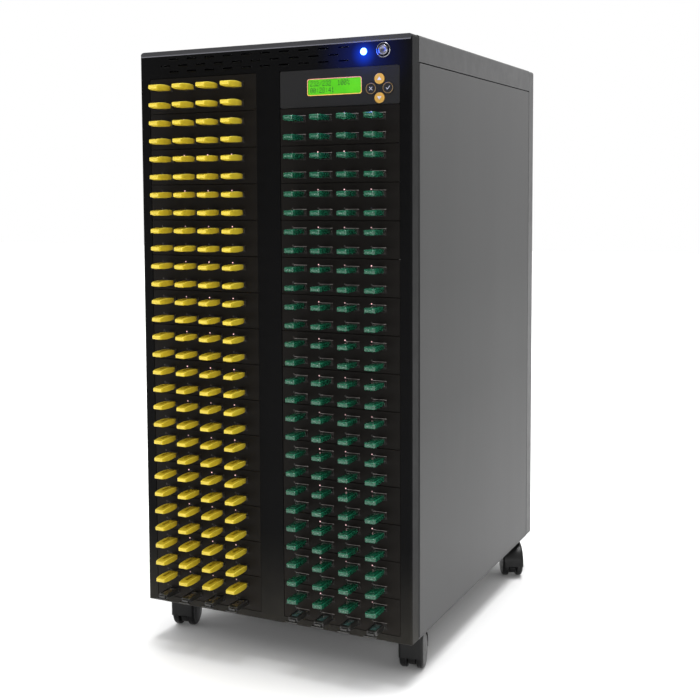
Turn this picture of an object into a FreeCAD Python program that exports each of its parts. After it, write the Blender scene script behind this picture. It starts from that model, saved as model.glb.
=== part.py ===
import FreeCAD, Part
import math
import os

# Two-column USB drive duplicator tower on four hooded twin-wheel casters.
# Millimetres. +X is to the right seen from the front, +Y goes from the front to the back, +Z is up.
# Origin: centre of the whole object's box, on the floor.

V = FreeCAD.Vector

# ---------------------------------------------------------------- driving dimensions
CAB_W = 350.0            # cabinet width
CAB_D = 490.0            # cabinet depth
CAB_H = 676.0            # cabinet height without casters
CASTER_H = 50.0          # floor to underside of the cabinet
SHEET = 1.2              # panel sheet thickness

BAY_H = 42.3             # half-height 5.25 inch bay pitch
BAYS = 15                # bays per column
BAY_BOTTOM = 8.7         # cabinet underside to the lowest bay
OPEN_W = 146.5           # column opening width
MULLION = 30.0           # strip between the two openings
COL_X = (OPEN_W + MULLION) / 2.0
BEZEL_W = 145.9
BEZEL_H = 42.0
BEZEL_T = 3.0

FRAME_D = 20.8           # front frame depth
FRAME_T = 3.0            # front frame plate thickness
SKIRT_T = 2.2            # front frame skirt thickness
TOP_BEVEL_Z = 6.5        # sloping band along the top of the front frame
TOP_BEVEL_Y = 2.5
EDGE_BEVEL_X = 1.5       # small bevel on the other three edges
EDGE_BEVEL_Y = 2.0
REAR_FLANGE = 22.8       # rear panel wraps this far forward
COVER_FLANGE = 29.0      # top cover side flange height

PORT_PITCH = 32.4        # four ports across
PORT_ROWS = (8.8, 29.9)  # port centre heights above the module's underside
RIM_W, RIM_H, RIM_LINE = 16.5, 8.0, 0.6
SHELL_W, SHELL_H, SHELL_L, SHELL_T = 13.1, 5.8, 14.4, 0.35
PLUG_W, PLUG_H, PLUG_L = 12.0, 4.5, 12.0
LED_DX, LED_DZ, LED_R = -9.4, 4.6, 1.0

DRIVE_GAP = 0.6          # gap between the bezel face and a plugged drive's body
YELLOW = (12.6, 32.0, 7.0)   # width, length, thickness
GREEN = (13.0, 30.0, 6.4)
BLACK = (12.6, 30.0, 7.0)

VENT_PITCH, VENT_L, VENT_S = 24.6, 12.5, 1.6
BUTTON_X, BUTTON_Z = 142.6, 659.4
LIGHT_X, LIGHT_Z = 118.9, 659.2

WHEEL_R, WHEEL_W, WHEEL_IN = 20.0, 9.4, 5.6
HOOD_W = 29.0
AXLE_R = 3.0
TRAIL = 14.0
STEM_R = 4.0
STEM_X = 155.4
STEM_FRONT = 50.0        # front stems behind the front face
STEM_REAR = 448.0        # rear stems behind the front face
CASTER_YAW = {"front_left": 13.0, "front_right": 12.0, "rear_left": 154.0, "rear_right": 206.0}

PSU_W, PSU_H, PSU_L = 150.0, 86.0, 140.0
FAN = 80.0
FAN_T = 25.0
REAR_PROUD = 6.0         # tallest rear fastener head

FRONT_PROUD = DRIVE_GAP + YELLOW[1]
YF = -(CAB_D + FRONT_PROUD + REAR_PROUD) / 2.0 + FRONT_PROUD   # front face of the cabinet
YR = YF + CAB_D
ZC = CASTER_H

os.makedirs("parts", exist_ok=True)
MADE = []


def box(x0, x1, y0, y1, z0, z1):
    return Part.makeBox(x1 - x0, y1 - y0, z1 - z0, V(x0, y0, z0))


def cyl(r, length, at, axis):
    return Part.makeCylinder(r, length, V(*at), V(*axis))


def prism(points, vec):
    pts = [V(*p) for p in points]
    return Part.Face(Part.makePolygon(pts + [pts[0]])).extrude(V(*vec))


def rounded_xz(x0, x1, z0, z1, y0, y1, r):
    """Plate with its corners rounded in the XZ plane; r is one radius or four (bottom-left, bottom-right, top-right, top-left)."""
    rs = [r] * 4 if not isinstance(r, (list, tuple)) else list(r)
    corners = [(x0, z0, 1, 1), (x1, z0, -1, 1), (x1, z1, -1, -1), (x0, z1, 1, -1)]
    edges = []
    pts = []
    for (cx, cz, sx, sz), rr in zip(corners, rs):
        pts.append((cx, cz, sx, sz, max(rr, 0.001)))
    for i in range(4):
        cx, cz, sx, sz, rr = pts[i]
        # direction of travel: bottom-left -> bottom-right -> top-right -> top-left
        if i == 0:
            a, b = V(cx, y0, cz + rr), V(cx + rr, y0, cz)
        elif i == 1:
            a, b = V(cx - rr, y0, cz), V(cx, y0, cz + rr)
        elif i == 2:
            a, b = V(cx, y0, cz - rr), V(cx - rr, y0, cz)
        else:
            a, b = V(cx + rr, y0, cz), V(cx, y0, cz - rr)
        c = V(cx + sx * rr, y0, cz + sz * rr)
        k = rr * (1 - math.sqrt(0.5))
        m = V(cx + sx * k, y0, cz + sz * k)
        edges.append((a, m, b))
    out = []
    for i in range(4):
        a, m, b = edges[i]
        out.append(Part.Arc(a, m, b).toShape())
        na = edges[(i + 1) % 4][0]
        out.append(Part.LineSegment(b, na).toShape())
    wire = Part.Wire(out)
    return Part.Face(wire).extrude(V(0, y1 - y0, 0))


def cut_all(shape, tools):
    return shape.cut(tools) if tools else shape


def fuse_all(shapes):
    s = shapes[0]
    if len(shapes) > 1:
        s = s.fuse(shapes[1:])
    return s.removeSplitter()


def save(name, solids):
    if not isinstance(solids, (list, tuple)):
        solids = [solids]
    flat = []
    for s in solids:
        flat.extend(s.Solids)
    for s in flat:
        if s.Volume <= 0 or not s.isValid():
            print("BAD SOLID in", name, s.Volume, s.isValid())
    shape = flat[0] if len(flat) == 1 else Part.makeCompound(flat)
    shape.exportStep("parts/" + name + ".step")
    MADE.append((name, len(flat), sum(s.Volume for s in flat)))


def moved(shape, x=0.0, y=0.0, z=0.0):
    s = shape.copy()
    s.translate(V(x, y, z))
    return s


def bay_z(k):
    return ZC + BAY_BOTTOM + BAY_H * k


# ---------------------------------------------------------------- front frame
x0, x1 = -CAB_W / 2, CAB_W / 2
z0, z1 = ZC, ZC + CAB_H
frame = rounded_xz(x0, x1, z0, z1, YF, YF + FRAME_D, (1.5, 1.5, 4.0, 4.0))
frame = frame.cut(box(x0 + SKIRT_T, x1 - SKIRT_T, YF + FRAME_T, YF + FRAME_D + 1, z0 + SKIRT_T, z1 - SKIRT_T))
open_z0 = ZC + BAY_BOTTOM - 0.15
open_z1 = ZC + BAY_BOTTOM + BAY_H * BAYS + 0.15
rings = []
for sx in (-1, 1):
    rings.append(box(sx * COL_X - OPEN_W / 2 - 1.6, sx * COL_X + OPEN_W / 2 + 1.6, YF + FRAME_T - 0.5, YF + FRAME_D,
                     open_z0 - 1.6, open_z1 + 1.6))
frame = fuse_all([frame] + rings)
cuts = [box(sx * COL_X - OPEN_W / 2, sx * COL_X + OPEN_W / 2, YF - 1, YF + FRAME_D + 1, open_z0, open_z1) for sx in (-1, 1)]
# sloping top band and the small bevels on the sides and the bottom
cuts.append(prism([(x0 - 1, YF - 0.01, z1 - TOP_BEVEL_Z), (x0 - 1, YF - 0.01, z1 + 1), (x0 - 1, YF + TOP_BEVEL_Y, z1 + 1),
                   (x0 - 1, YF + TOP_BEVEL_Y, z1)], (CAB_W + 2, 0, 0)))
for s in (-1, 1):
    cuts.append(prism([(s * (x1 - EDGE_BEVEL_X), YF - 0.01, z0 - 1), (s * (x1 + 1), YF - 0.01, z0 - 1),
                       (s * (x1 + 1), YF + EDGE_BEVEL_Y, z0 - 1), (s * x1, YF + EDGE_BEVEL_Y, z0 - 1)], (0, 0, CAB_H + 2)))
cuts.append(prism([(x0 - 1, YF - 0.01, z0 + EDGE_BEVEL_X), (x0 - 1, YF - 0.01, z0 - 1), (x0 - 1, YF + EDGE_BEVEL_Y, z0 - 1),
                   (x0 - 1, YF + EDGE_BEVEL_Y, z0)], (CAB_W + 2, 0, 0)))
# three staggered rows of vent slots, each with a small lip under it
lips = []
for zrow, xstart in ((665.6, -126.8), (657.9, -139.1), (650.8, -126.8)):
    for k in range(10):
        vx = xstart + VENT_PITCH * k
        vz = ZC + zrow
        cuts.append(box(vx - VENT_L / 2, vx + VENT_L / 2, YF - 2, YF + FRAME_T + 1, vz - VENT_S / 2, vz + VENT_S / 2))
        lips.append(prism([(vx - VENT_L / 2, YF + 0.2, vz - VENT_S / 2), (vx - VENT_L / 2, YF - 0.8, vz - VENT_S / 2 - 0.1),
                           (vx - VENT_L / 2, YF - 0.8, vz - VENT_S / 2 - 0.5), (vx - VENT_L / 2, YF + 0.2, vz - VENT_S / 2 - 1.7)],
                          (VENT_L, 0, 0)))
cuts.append(cyl(4.1, 10, (LIGHT_X, YF - 2, ZC + LIGHT_Z), (0, 1, 0)))
cuts.append(cyl(7.0, 10, (BUTTON_X, YF - 2, ZC + BUTTON_Z), (0, 1, 0)))
frame = cut_all(frame, cuts)
frame = fuse_all([frame] + lips)
save("front_frame", frame)

# ---------------------------------------------------------------- port module bezel (one, then copied into every bay)
def port_xy():
    for row in PORT_ROWS:
        for i in range(4):
            yield (i - 1.5) * PORT_PITCH, row


def module_bezel():
    fy = YF + 0.2
    b = box(-BEZEL_W / 2, BEZEL_W / 2, fy, fy + BEZEL_T, 0, BEZEL_H)
    edges = [e for e in b.Edges if abs(e.BoundBox.YMax - fy) < 1e-6 and abs(e.BoundBox.YMin - fy) < 1e-6]
    b = b.makeChamfer(0.45, edges)
    adds = []
    for s in (-1, 1):
        xa, xb = sorted((s * BEZEL_W / 2, s * (BEZEL_W / 2 - 1.6)))
        adds.append(box(xa, xb, fy + BEZEL_T - 0.2, fy + 11.0, 2.0, BEZEL_H - 2.0))
    holes = []
    for px, pz in port_xy():
        adds.append(box(px - RIM_W / 2, px + RIM_W / 2, fy - 0.4, fy + 0.5, pz - RIM_H / 2, pz + RIM_H / 2))
        holes.append(box(px - RIM_W / 2 + RIM_LINE, px + RIM_W / 2 - RIM_LINE, fy - 1, fy + 0.8,
                         pz - RIM_H / 2 + RIM_LINE, pz + RIM_H / 2 - RIM_LINE))
        holes.append(box(px - SHELL_W / 2 - 0.2, px + SHELL_W / 2 + 0.2, fy - 1, fy + BEZEL_T + 1,
                         pz - SHELL_H / 2 - 0.2, pz + SHELL_H / 2 + 0.2))
        holes.append(cyl(LED_R + 0.1, 8, (px + LED_DX, fy - 2, pz + LED_DZ), (0, 1, 0)))
    b = b.fuse(adds)
    b = cut_all(b, holes).removeSplitter()
    return b


bezel = module_bezel()
LEFT = [(-COL_X, bay_z(k)) for k in range(BAYS)]
RIGHT = [(COL_X, bay_z(k)) for k in range(BAYS - 1)]
save("left_port_bezels", [moved(bezel, x, 0, z + 0.15) for x, z in LEFT])
save("right_port_bezels", [moved(bezel, x, 0, z + 0.15) for x, z in RIGHT])

# every port: (x, z, column, bay, row, place)
PORTS = []
for col, rows in (("L", LEFT), ("R", RIGHT)):
    for k, (cx, cz) in enumerate(rows):
        for j, row in enumerate(PORT_ROWS):
            for i in range(4):
                PORTS.append((cx + (i - 1.5) * PORT_PITCH, cz + 0.15 + row, col, k, j, i))

# ---------------------------------------------------------------- USB sockets, status lights
sy = YF + 1.0
shell = box(-SHELL_W / 2, SHELL_W / 2, sy, sy + SHELL_L, -SHELL_H / 2, SHELL_H / 2).cut(
    box(-SHELL_W / 2 + SHELL_T, SHELL_W / 2 - SHELL_T, sy - 1, sy + SHELL_L - 0.6, -SHELL_H / 2 + SHELL_T, SHELL_H / 2 - SHELL_T))
tongue = box(-5.5, 5.5, sy + 4.5, sy + SHELL_L - 0.6, 0.0, 1.8)
light = Part.makeCylinder(LED_R, 7.0, V(0, YF + 0.1, 0), V(0, 1, 0)).fuse(
    Part.makeCone(0.62, LED_R, 0.35, V(0, YF - 0.25, 0), V(0, 1, 0))).removeSplitter()
save("usb_socket_shells", [moved(shell, p[0], 0, p[1]) for p in PORTS])
save("usb_socket_tongues", [moved(tongue, p[0], 0, p[1]) for p in PORTS])
save("port_status_lights", [moved(light, p[0] + LED_DX, 0, p[1] + LED_DZ) for p in PORTS])

# ---------------------------------------------------------------- hub board and tray of a module
by = sy + SHELL_L
board = [box(-69, 69, by, by + 1.6, 2.2, 40.0)]
for cx, cz, w, h, d in ((-42, 21, 12, 12, 1.5), (-8, 21, 12, 12, 1.5), (26, 21, 9, 9, 1.2), (-25, 33, 16, 6, 8.5), (40, 21, 10, 20, 9.0)):
    board.append(box(cx - w / 2, cx + w / 2, by + 1.5, by + 1.6 + d, cz - h / 2, cz + h / 2))
board = fuse_all(board)
ty = by + 1.8
tray = [box(-72.2, 72.2, ty, ty + 118, 0.9, 1.9)]
for s in (-1, 1):
    xa, xb = sorted((s * 72.2, s * 71.2))
    tray.append(box(xa, xb, ty, ty + 118, 0.9, 40.5))
    xa, xb = sorted((s * 72.2, s * 60.0))
    tray.append(box(xa, xb, ty, ty + 1.0, 3.0, 38.0))
tray = fuse_all(tray)
MODULES = LEFT + RIGHT
save("hub_boards", [moved(board, x, 0, z) for x, z in MODULES])
save("module_trays", [moved(tray, x, 0, z) for x, z in MODULES])

# ---------------------------------------------------------------- flash drives and their plugs
def drive_body(width, length, thick, front_r, rear_r, edge_r):
    y1 = YF - DRIVE_GAP
    y0 = y1 - length
    hw = width / 2
    e = []

    def arc(a, m, b):
        e.append(Part.Arc(V(*a), V(*m), V(*b)).toShape())

    def line(a, b):
        e.append(Part.LineSegment(V(*a), V(*b)).toShape())
    z = -thick / 2
    kf = front_r * (1 - math.sqrt(0.5))
    kr = rear_r * (1 - math.sqrt(0.5))
    line((-hw + front_r, y0, z), (hw - front_r, y0, z))
    arc((hw - front_r, y0, z), (hw - kf, y0 + kf, z), (hw, y0 + front_r, z))
    line((hw, y0 + front_r, z), (hw, y1 - rear_r, z))
    arc((hw, y1 - rear_r, z), (hw - kr, y1 - kr, z), (hw - rear_r, y1, z))
    line((hw - rear_r, y1, z), (-hw + rear_r, y1, z))
    arc((-hw + rear_r, y1, z), (-hw + kr, y1 - kr, z), (-hw, y1 - rear_r, z))
    line((-hw, y1 - rear_r, z), (-hw, y0 + front_r, z))
    arc((-hw, y0 + front_r, z), (-hw + kf, y0 + kf, z), (-hw + front_r, y0, z))
    body = Part.Face(Part.Wire(e)).extrude(V(0, 0, thick))
    rim = [x for x in body.Edges if abs(x.BoundBox.ZMax - x.BoundBox.ZMin) < 1e-6]
    return body.makeFillet(edge_r, rim)


def plug_body(windows):
    y1 = YF - DRIVE_GAP
    p = box(-PLUG_W / 2, PLUG_W / 2, y1, y1 + PLUG_L, -PLUG_H / 2, PLUG_H / 2)
    c = [box(-PLUG_W / 2 + 0.3, PLUG_W / 2 - 0.3, y1 + 1.2, y1 + PLUG_L + 1, -0.15, PLUG_H / 2 - 0.3)]
    if windows:
        for wx in (-3.1, 3.1):
            c.append(box(wx - 1.1, wx + 1.1, y1 + 5.4, y1 + 7.6, PLUG_H / 2 - 1, PLUG_H / 2 + 1))
            c.append(box(wx - 1.1, wx + 1.1, y1 + 5.4, y1 + 7.6, -PLUG_H / 2 - 1, -PLUG_H / 2 + 0.25))
    return p.cut(c)


yellow = drive_body(*YELLOW, 2.4, 0.9, 1.5)
green = drive_body(*GREEN, 2.0, 0.9, 1.4)
black = drive_body(*BLACK, 1.4, 0.9, 0.8)
# the black ones end in a wide flat lip along their lower front edge
black = black.fuse(box(-7.4, 7.4, YF - DRIVE_GAP - BLACK[1], YF - DRIVE_GAP - BLACK[1] + 3.6, -BLACK[2] / 2, -BLACK[2] / 2 + 1.5))
plug = plug_body(False)
plug_open = plug_body(True)
SINGLE = {"yellow_drive_single": ("L", BAYS - 1, 1, 3), "green_drive_single": ("R", 7, 1, 3), "black_drive_single": ("R", 0, 0, 3)}
groups = {"yellow": [], "green": [], "black": []}
plugs = []
for (px, pz, col, k, j, i) in PORTS:
    kind = "black" if (k == 0 and j == 0) else ("yellow" if col == "L" else "green")
    body = {"yellow": yellow, "green": green, "black": black}[kind]
    single = [n for n, key in SINGLE.items() if key == (col, k, j, i)]
    if single:
        save(single[0], moved(body, px, 0, pz))
        save(single[0] + "_plug", moved(plug_open, px, 0, pz))
    else:
        groups[kind].append(moved(body, px, 0, pz))
        plugs.append(moved(plug, px, 0, pz))
save("yellow_drives", groups["yellow"])
save("green_drives", groups["green"])
save("black_drives", groups["black"])
save("drive_plugs", plugs)

# ---------------------------------------------------------------- control panel
cx = COL_X
cz = bay_z(BAYS - 1)
KEY_C = (cx + 49.4, cz + 17.6)
KEY_DX, KEY_DZ = 10.0, 10.4
KEYS = {"up_key": (KEY_C[0], KEY_C[1] + KEY_DZ, 5.85), "down_key": (KEY_C[0], KEY_C[1] - KEY_DZ, 5.85),
        "back_key": (KEY_C[0] - KEY_DX, KEY_C[1], 6.3), "enter_key": (KEY_C[0] + KEY_DX, KEY_C[1], 6.3)}
LCD = (cx - 5.1, cz + 22.3, 65.0, 17.4)
plate = rounded_xz(cx - BEZEL_W / 2, cx + BEZEL_W / 2, cz + 0.15, cz + 0.15 + BEZEL_H, YF, YF + BEZEL_T, 2.4)
front_edges = [e for e in plate.Edges if abs(e.BoundBox.YMax - YF) < 1e-6 and abs(e.BoundBox.YMin - YF) < 1e-6]
plate = plate.makeChamfer(0.5, front_edges)
tools = [rounded_xz(LCD[0] - LCD[2] / 2, LCD[0] + LCD[2] / 2, LCD[1] - LCD[3] / 2, LCD[1] + LCD[3] / 2, YF - 1, YF + BEZEL_T + 1, 2.0)]
for kx, kz, kr in KEYS.values():
    tools.append(cyl(kr + 0.3, 8, (kx, YF - 2, kz), (0, 1, 0)))
plate = plate.cut(tools)
wings = []
for s in (-1, 1):
    xa, xb = sorted((cx + s * BEZEL_W / 2, cx + s * (BEZEL_W / 2 - 1.6)))
    wings.append(box(xa, xb, YF + BEZEL_T - 0.2, YF + 11.2, cz + 4.0, cz + 38.0))
save("control_panel_plate", fuse_all([plate] + wings))
for name, (kx, kz, kr) in KEYS.items():
    k = cyl(kr, 4.4, (kx, YF - 1.0, kz), (0, 1, 0))
    top = [e for e in k.Edges if abs(e.BoundBox.YMax - (YF - 1.0)) < 1e-6 and e.BoundBox.YMin > YF - 1.001]
    k = k.makeFillet(0.5, top)
    k = fuse_all([k, cyl(kr + 0.9, 1.0, (kx, YF + 3.4, kz), (0, 1, 0)), cyl(1.2, 0.8, (kx, YF + 4.3, kz), (0, 1, 0))])
    save(name, k)
lcd = [rounded_xz(LCD[0] - LCD[2] / 2 + 0.2, LCD[0] + LCD[2] / 2 - 0.2, LCD[1] - LCD[3] / 2 + 0.2, LCD[1] + LCD[3] / 2 - 0.2,
                  YF + 0.6, YF + 3.4, 1.8),
       box(LCD[0] - 36, LCD[0] + 36, YF + 3.2, YF + 8.0, LCD[1] - 13, LCD[1] + 13),
       box(LCD[0] - 39.5, LCD[0] + 37.5, YF + 7.9, YF + 9.5, LCD[1] - 17.5, LCD[1] + 17.5)]
save("lcd_module", fuse_all(lcd))
cb = [box(cx - 69, cx + 69, YF + 11.6, YF + 13.2, cz + 2.2, cz + 40.0)]
for kx, kz, kr in KEYS.values():
    cb.append(box(kx - 3, kx + 3, YF + 7.6, YF + 11.7, kz - 3, kz + 3))
    cb.append(cyl(1.6, 1.6, (kx, YF + 6.1, kz), (0, 1, 0)))
for ax, w, h, d in ((-50, 14, 14, 1.6), (-25, 20, 14, 1.6), (4, 14, 14, 2.4), (30, 24, 8, 9.0)):
    cb.append(box(cx + ax - w / 2, cx + ax + w / 2, YF + 13.1, YF + 13.2 + d, cz + 21 - h / 2, cz + 21 + h / 2))
save("control_board", fuse_all(cb))

# ---------------------------------------------------------------- power light and power button
lx, lz = LIGHT_X, ZC + LIGHT_Z
dome = Part.makeSphere(5.2, V(lx, YF + 3.2, lz)).common(box(lx - 6, lx + 6, YF - 4, YF, lz - 6, lz + 6)).common(
    cyl(4.0, 8, (lx, YF - 4, lz), (0, 1, 0)))
save("power_light_lens", fuse_all([dome, cyl(4.0, 6.5, (lx, YF - 0.05, lz), (0, 1, 0)), cyl(5.2, 1.2, (lx, YF + FRAME_T + 0.1, lz), (0, 1, 0))]))
bx, bz = BUTTON_X, ZC + BUTTON_Z
ring = cyl(8.3, 1.8, (bx, YF - 1.8, bz), (0, 1, 0))
ring = ring.makeFillet(0.9, [e for e in ring.Edges if abs(e.BoundBox.YMax - (YF - 1.8)) < 1e-6])
ring = fuse_all([ring, cyl(6.9, 11.0, (bx, YF - 0.1, bz), (0, 1, 0)), cyl(9.0, 3.0, (bx, YF + FRAME_T, bz), (0, 1, 0))])
ring = ring.cut(cyl(5.6, 14, (bx, YF - 2.5, bz), (0, 1, 0)))
inner = [e for e in ring.Edges if abs(e.BoundBox.YMax - (YF - 1.8)) < 1e-6 and e.BoundBox.XLength < 11.6]
if inner:
    ring = ring.makeChamfer(0.5, inner)
save("power_button_ring", ring)
cap = cyl(5.5, 10.6, (bx, YF - 3.2, bz), (0, 1, 0))
cap = cap.makeFillet(1.3, [e for e in cap.Edges if abs(e.BoundBox.YMax - (YF - 3.2)) < 1e-6])
cap = cap.cut(Part.makeSphere(14.0, V(bx, YF - 3.2 - 13.45, bz)))
save("power_button_cap", cap)
sw = fuse_all([cyl(6.8, 12.0, (bx, YF + 11.2, bz), (0, 1, 0)), box(bx - 4.4, bx - 3.6, YF + 23, YF + 29, bz - 1.5, bz + 1.5),
               box(bx + 3.6, bx + 4.4, YF + 23, YF + 29, bz - 1.5, bz + 1.5)])
save("power_switch_body", sw)

# ---------------------------------------------------------------- cabinet sheet metal
ys, ye = YF + FRAME_D + 1.2, YF + CAB_D - REAR_FLANGE - 0.5
cover = box(x0, x1, ys, ye, z1 - COVER_FLANGE, z1)
cover = cover.makeFillet(2.6, [e for e in cover.Edges if abs(e.BoundBox.ZMin - z1) < 1e-6 and abs(abs(e.BoundBox.XMin) - x1) < 1e-6
                               and abs(e.BoundBox.XMax - e.BoundBox.XMin) < 1e-6])
hollow = box(x0 + SHEET, x1 - SHEET, ys - 1, ye + 1, z1 - COVER_FLANGE - 5, z1 - SHEET)
hollow = hollow.makeFillet(1.4, [e for e in hollow.Edges if abs(e.BoundBox.ZMin - (z1 - SHEET)) < 1e-6
                                 and abs(e.BoundBox.XMax - e.BoundBox.XMin) < 1e-6])
save("top_cover", cover.cut(hollow))

py0, py1 = YF + FRAME_D + 3.8, ye
pz0, pz1 = z0 + 1.8, z1 - COVER_FLANGE - 0.9
for s, name in ((-1, "left_side_panel"), (1, "right_side_panel")):
    xa, xb = sorted((s * x1, s * (x1 - 9.0)))
    pan = box(xa, xb, py0, py1, pz0, pz1)
    outer = [e for e in pan.Edges if abs(e.BoundBox.XMin - s * x1) < 1e-6 and abs(e.BoundBox.XMax - s * x1) < 1e-6]
    pan = pan.makeFillet(0.9, outer)
    ia, ib = sorted((s * (x1 - SHEET), s * (x1 - 12)))
    pan = pan.cut(box(ia, ib, py0 + SHEET, py1 - SHEET, pz0 + SHEET, pz1 - SHEET))
    save(name, pan)

base = [box(x0 + 0.4, x1 - 0.4, ys, ye, z0, z0 + 1.5)]
for s in (-1, 1):
    xa, xb = sorted((s * 165.2, s * 164.0))
    base.append(box(xa, xb, ys, ye, z0 + 1.4, z0 + 26))
base.append(box(-164.5, 164.5, ye - 1.2, ye, z0 + 1.4, z0 + 12))
base = fuse_all(base)
STEMS = {"front_left": (-STEM_X, YF + STEM_FRONT), "front_right": (STEM_X, YF + STEM_FRONT),
         "rear_left": (-STEM_X, YF + STEM_REAR), "rear_right": (STEM_X, YF + STEM_REAR)}
base = base.cut([cyl(STEM_R + 0.2, 6, (sx, sy2, z0 - 2), (0, 0, 1)) for sx, sy2 in STEMS.values()])
save("base_pan", base)

walls = []
wy0, wy1 = YF + FRAME_D + 0.4, YF + 172.0
for col in (-COL_X, COL_X):
    for s in (-1, 1):
        xa, xb = sorted((col + s * 73.4, col + s * 74.6))
        wall = box(xa, xb, wy0, wy1, z0 + 1.5, z1 - 30.0)
        fa, fb = sorted((col + s * 73.4, col + s * 84.6))
        foot = box(fa, fb, wy1 - 1.2, wy1, z0 + 28.0, z1 - 36.0)
        wall = fuse_all([wall, foot])
        if s * col > 0:
            # clears the nut of the front caster stem
            wall = wall.cut(box(xa - 0.5, xb + 0.5, YF + STEM_FRONT - 10.0, YF + STEM_FRONT + 10.0, z0 + 1.0, z0 + 9.5))
        walls.append(wall)
save("bay_walls", walls)

# ---------------------------------------------------------------- rear panel
fan_c = {"left": (-78.0, ZC + 566.0), "right": (78.0, ZC + 566.0)}
psu_x0, psu_x1 = -PSU_W / 2, PSU_W / 2
psu_z0 = ZC + 16.0
psu_z1 = psu_z0 + PSU_H
psu_fan = (-27.0, psu_z0 + 43.0)
inlet = (48.0, psu_z0 + 27.5)
rear = rounded_xz(x0, x1, z0, z1, YR - REAR_FLANGE, YR, (1.5, 1.5, 4.0, 4.0))
back_edges = [e for e in rear.Edges if abs(e.BoundBox.YMax - YR) < 1e-6 and abs(e.BoundBox.YMin - YR) < 1e-6]
rear = rear.makeFillet(1.0, back_edges)
rear = rear.cut(rounded_xz(x0 + SHEET, x1 - SHEET, z0 + SHEET, z1 - SHEET, YR - REAR_FLANGE - 1, YR - SHEET, (0.5, 0.5, 2.8, 2.8)))
rc = []
for fx, fz in fan_c.values():
    rc.append(cyl(38.0, 6, (fx, YR - 4, fz), (0, 1, 0)))
    for a in (-1, 1):
        for b in (-1, 1):
            rc.append(cyl(2.2, 6, (fx + a * 35.75, YR - 4, fz + b * 35.75), (0, 1, 0)))
# the supply shows through an opening with its corners cut off, where its four screws sit
ox0, ox1, oz0, oz1, oc = psu_x0 + 4.0, psu_x1 - 6.0, psu_z0 + 3.0, psu_z1 - 3.0, 14.0
rc.append(prism([(ox0 + oc, YR - 4, oz0), (ox1 - oc, YR - 4, oz0), (ox1, YR - 4, oz0 + oc), (ox1, YR - 4, oz1 - oc), (ox1 - oc, YR - 4, oz1),
                 (ox0 + oc, YR - 4, oz1), (ox0, YR - 4, oz1 - oc), (ox0, YR - 4, oz0 + oc)], (0, 6, 0)))
PSU_SCREWS = [(sx * 68.5, zz) for sx in (-1, 1) for zz in (psu_z0 + 6.5, psu_z1 - 6.5)]
# rows of vent holes between the fans and the supply
for j in range(7):
    for i in range(13):
        rc.append(cyl(2.6, 6, ((i - 6) * 14.0 + (7.0 if j % 2 else 0.0) - 3.5, YR - 4, ZC + 330.0 + j * 12.1), (0, 1, 0)))
PANEL_SCREWS = [(sx * 160.0, ZC + zz) for sx in (-1, 1) for zz in (40.0, 240.0, 440.0, 640.0)]
THUMBS = [(sx * 167.0, ZC + zz) for sx in (-1, 1) for zz in (140.0, 540.0)]
for px, pz in PANEL_SCREWS + THUMBS + PSU_SCREWS:
    rc.append(cyl(2.1, 6, (px, YR - 4, pz), (0, 1, 0)))
rear = rear.cut(rc)
save("rear_panel", rear)

# ---------------------------------------------------------------- power supply
pb0, pb1 = YR - SHEET - PSU_L, YR - SHEET
case = box(psu_x0, psu_x1, pb0, pb1, psu_z0, psu_z1).cut(box(psu_x0 + 1, psu_x1 - 1, pb0 + 1, pb1 - 1, psu_z0 + 1, psu_z1 - 1))
pc = [cyl(37.0, 6, (psu_fan[0], pb1 - 4, psu_fan[1]), (0, 1, 0)),
      box(inlet[0] - 13.6, inlet[0] + 13.6, pb1 - 4, pb1 + 1, inlet[1] - 10.0, inlet[1] + 43.0),
      cyl(8.0, 6, (0, pb0 - 2, psu_z0 + 60.0), (0, 1, 0))]
pc += [cyl(2.1, 6, (psu_fan[0] + a * 29.0, pb1 - 4, psu_fan[1] + b * 29.0), (0, 1, 0)) for a in (-1, 1) for b in (-1, 1)]
pc += [cyl(2.1, 6, (px, pb1 - 4, pz), (0, 1, 0)) for px, pz in PSU_SCREWS]
for i in range(11):
    for j in range(3):
        pc.append(box(psu_x0 + 12 + i * 12, psu_x0 + 20 + i * 12, pb0 - 1, pb0 + 3, psu_z0 + 14 + j * 8, psu_z0 + 17 + j * 8))
case = case.cut(pc)
save("power_supply_case", case)


def rotor(cx_, cy_, cz_, r_out, hub_r, thick, blades, half):
    """Fan rotor facing +Y: a hub with flat blades pitched 45 degrees; half is half a blade's reach along the axis."""
    r = cyl(hub_r, thick, (0, 0, 0), (0, 1, 0))
    ring_ = cyl(r_out, thick + 4, (0, -2, 0), (0, 1, 0)).cut(cyl(hub_r - 1.5, thick + 6, (0, -3, 0), (0, 1, 0)))
    for b in range(blades):
        blade = Part.makeBox(1.4, 2 * half * math.sqrt(2), r_out, V(-0.7, -half * math.sqrt(2), hub_r - 6))
        blade.rotate(V(0, 0, 0), V(0, 0, 1), 45.0)
        blade.translate(V(0, thick / 2, 0))
        blade = blade.common(ring_)
        blade.rotate(V(0, 0, 0), V(0, 1, 0), 360.0 / blades * b + 7.0)
        r = r.fuse(blade)
    r.translate(V(cx_, cy_, cz_))
    return r


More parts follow.
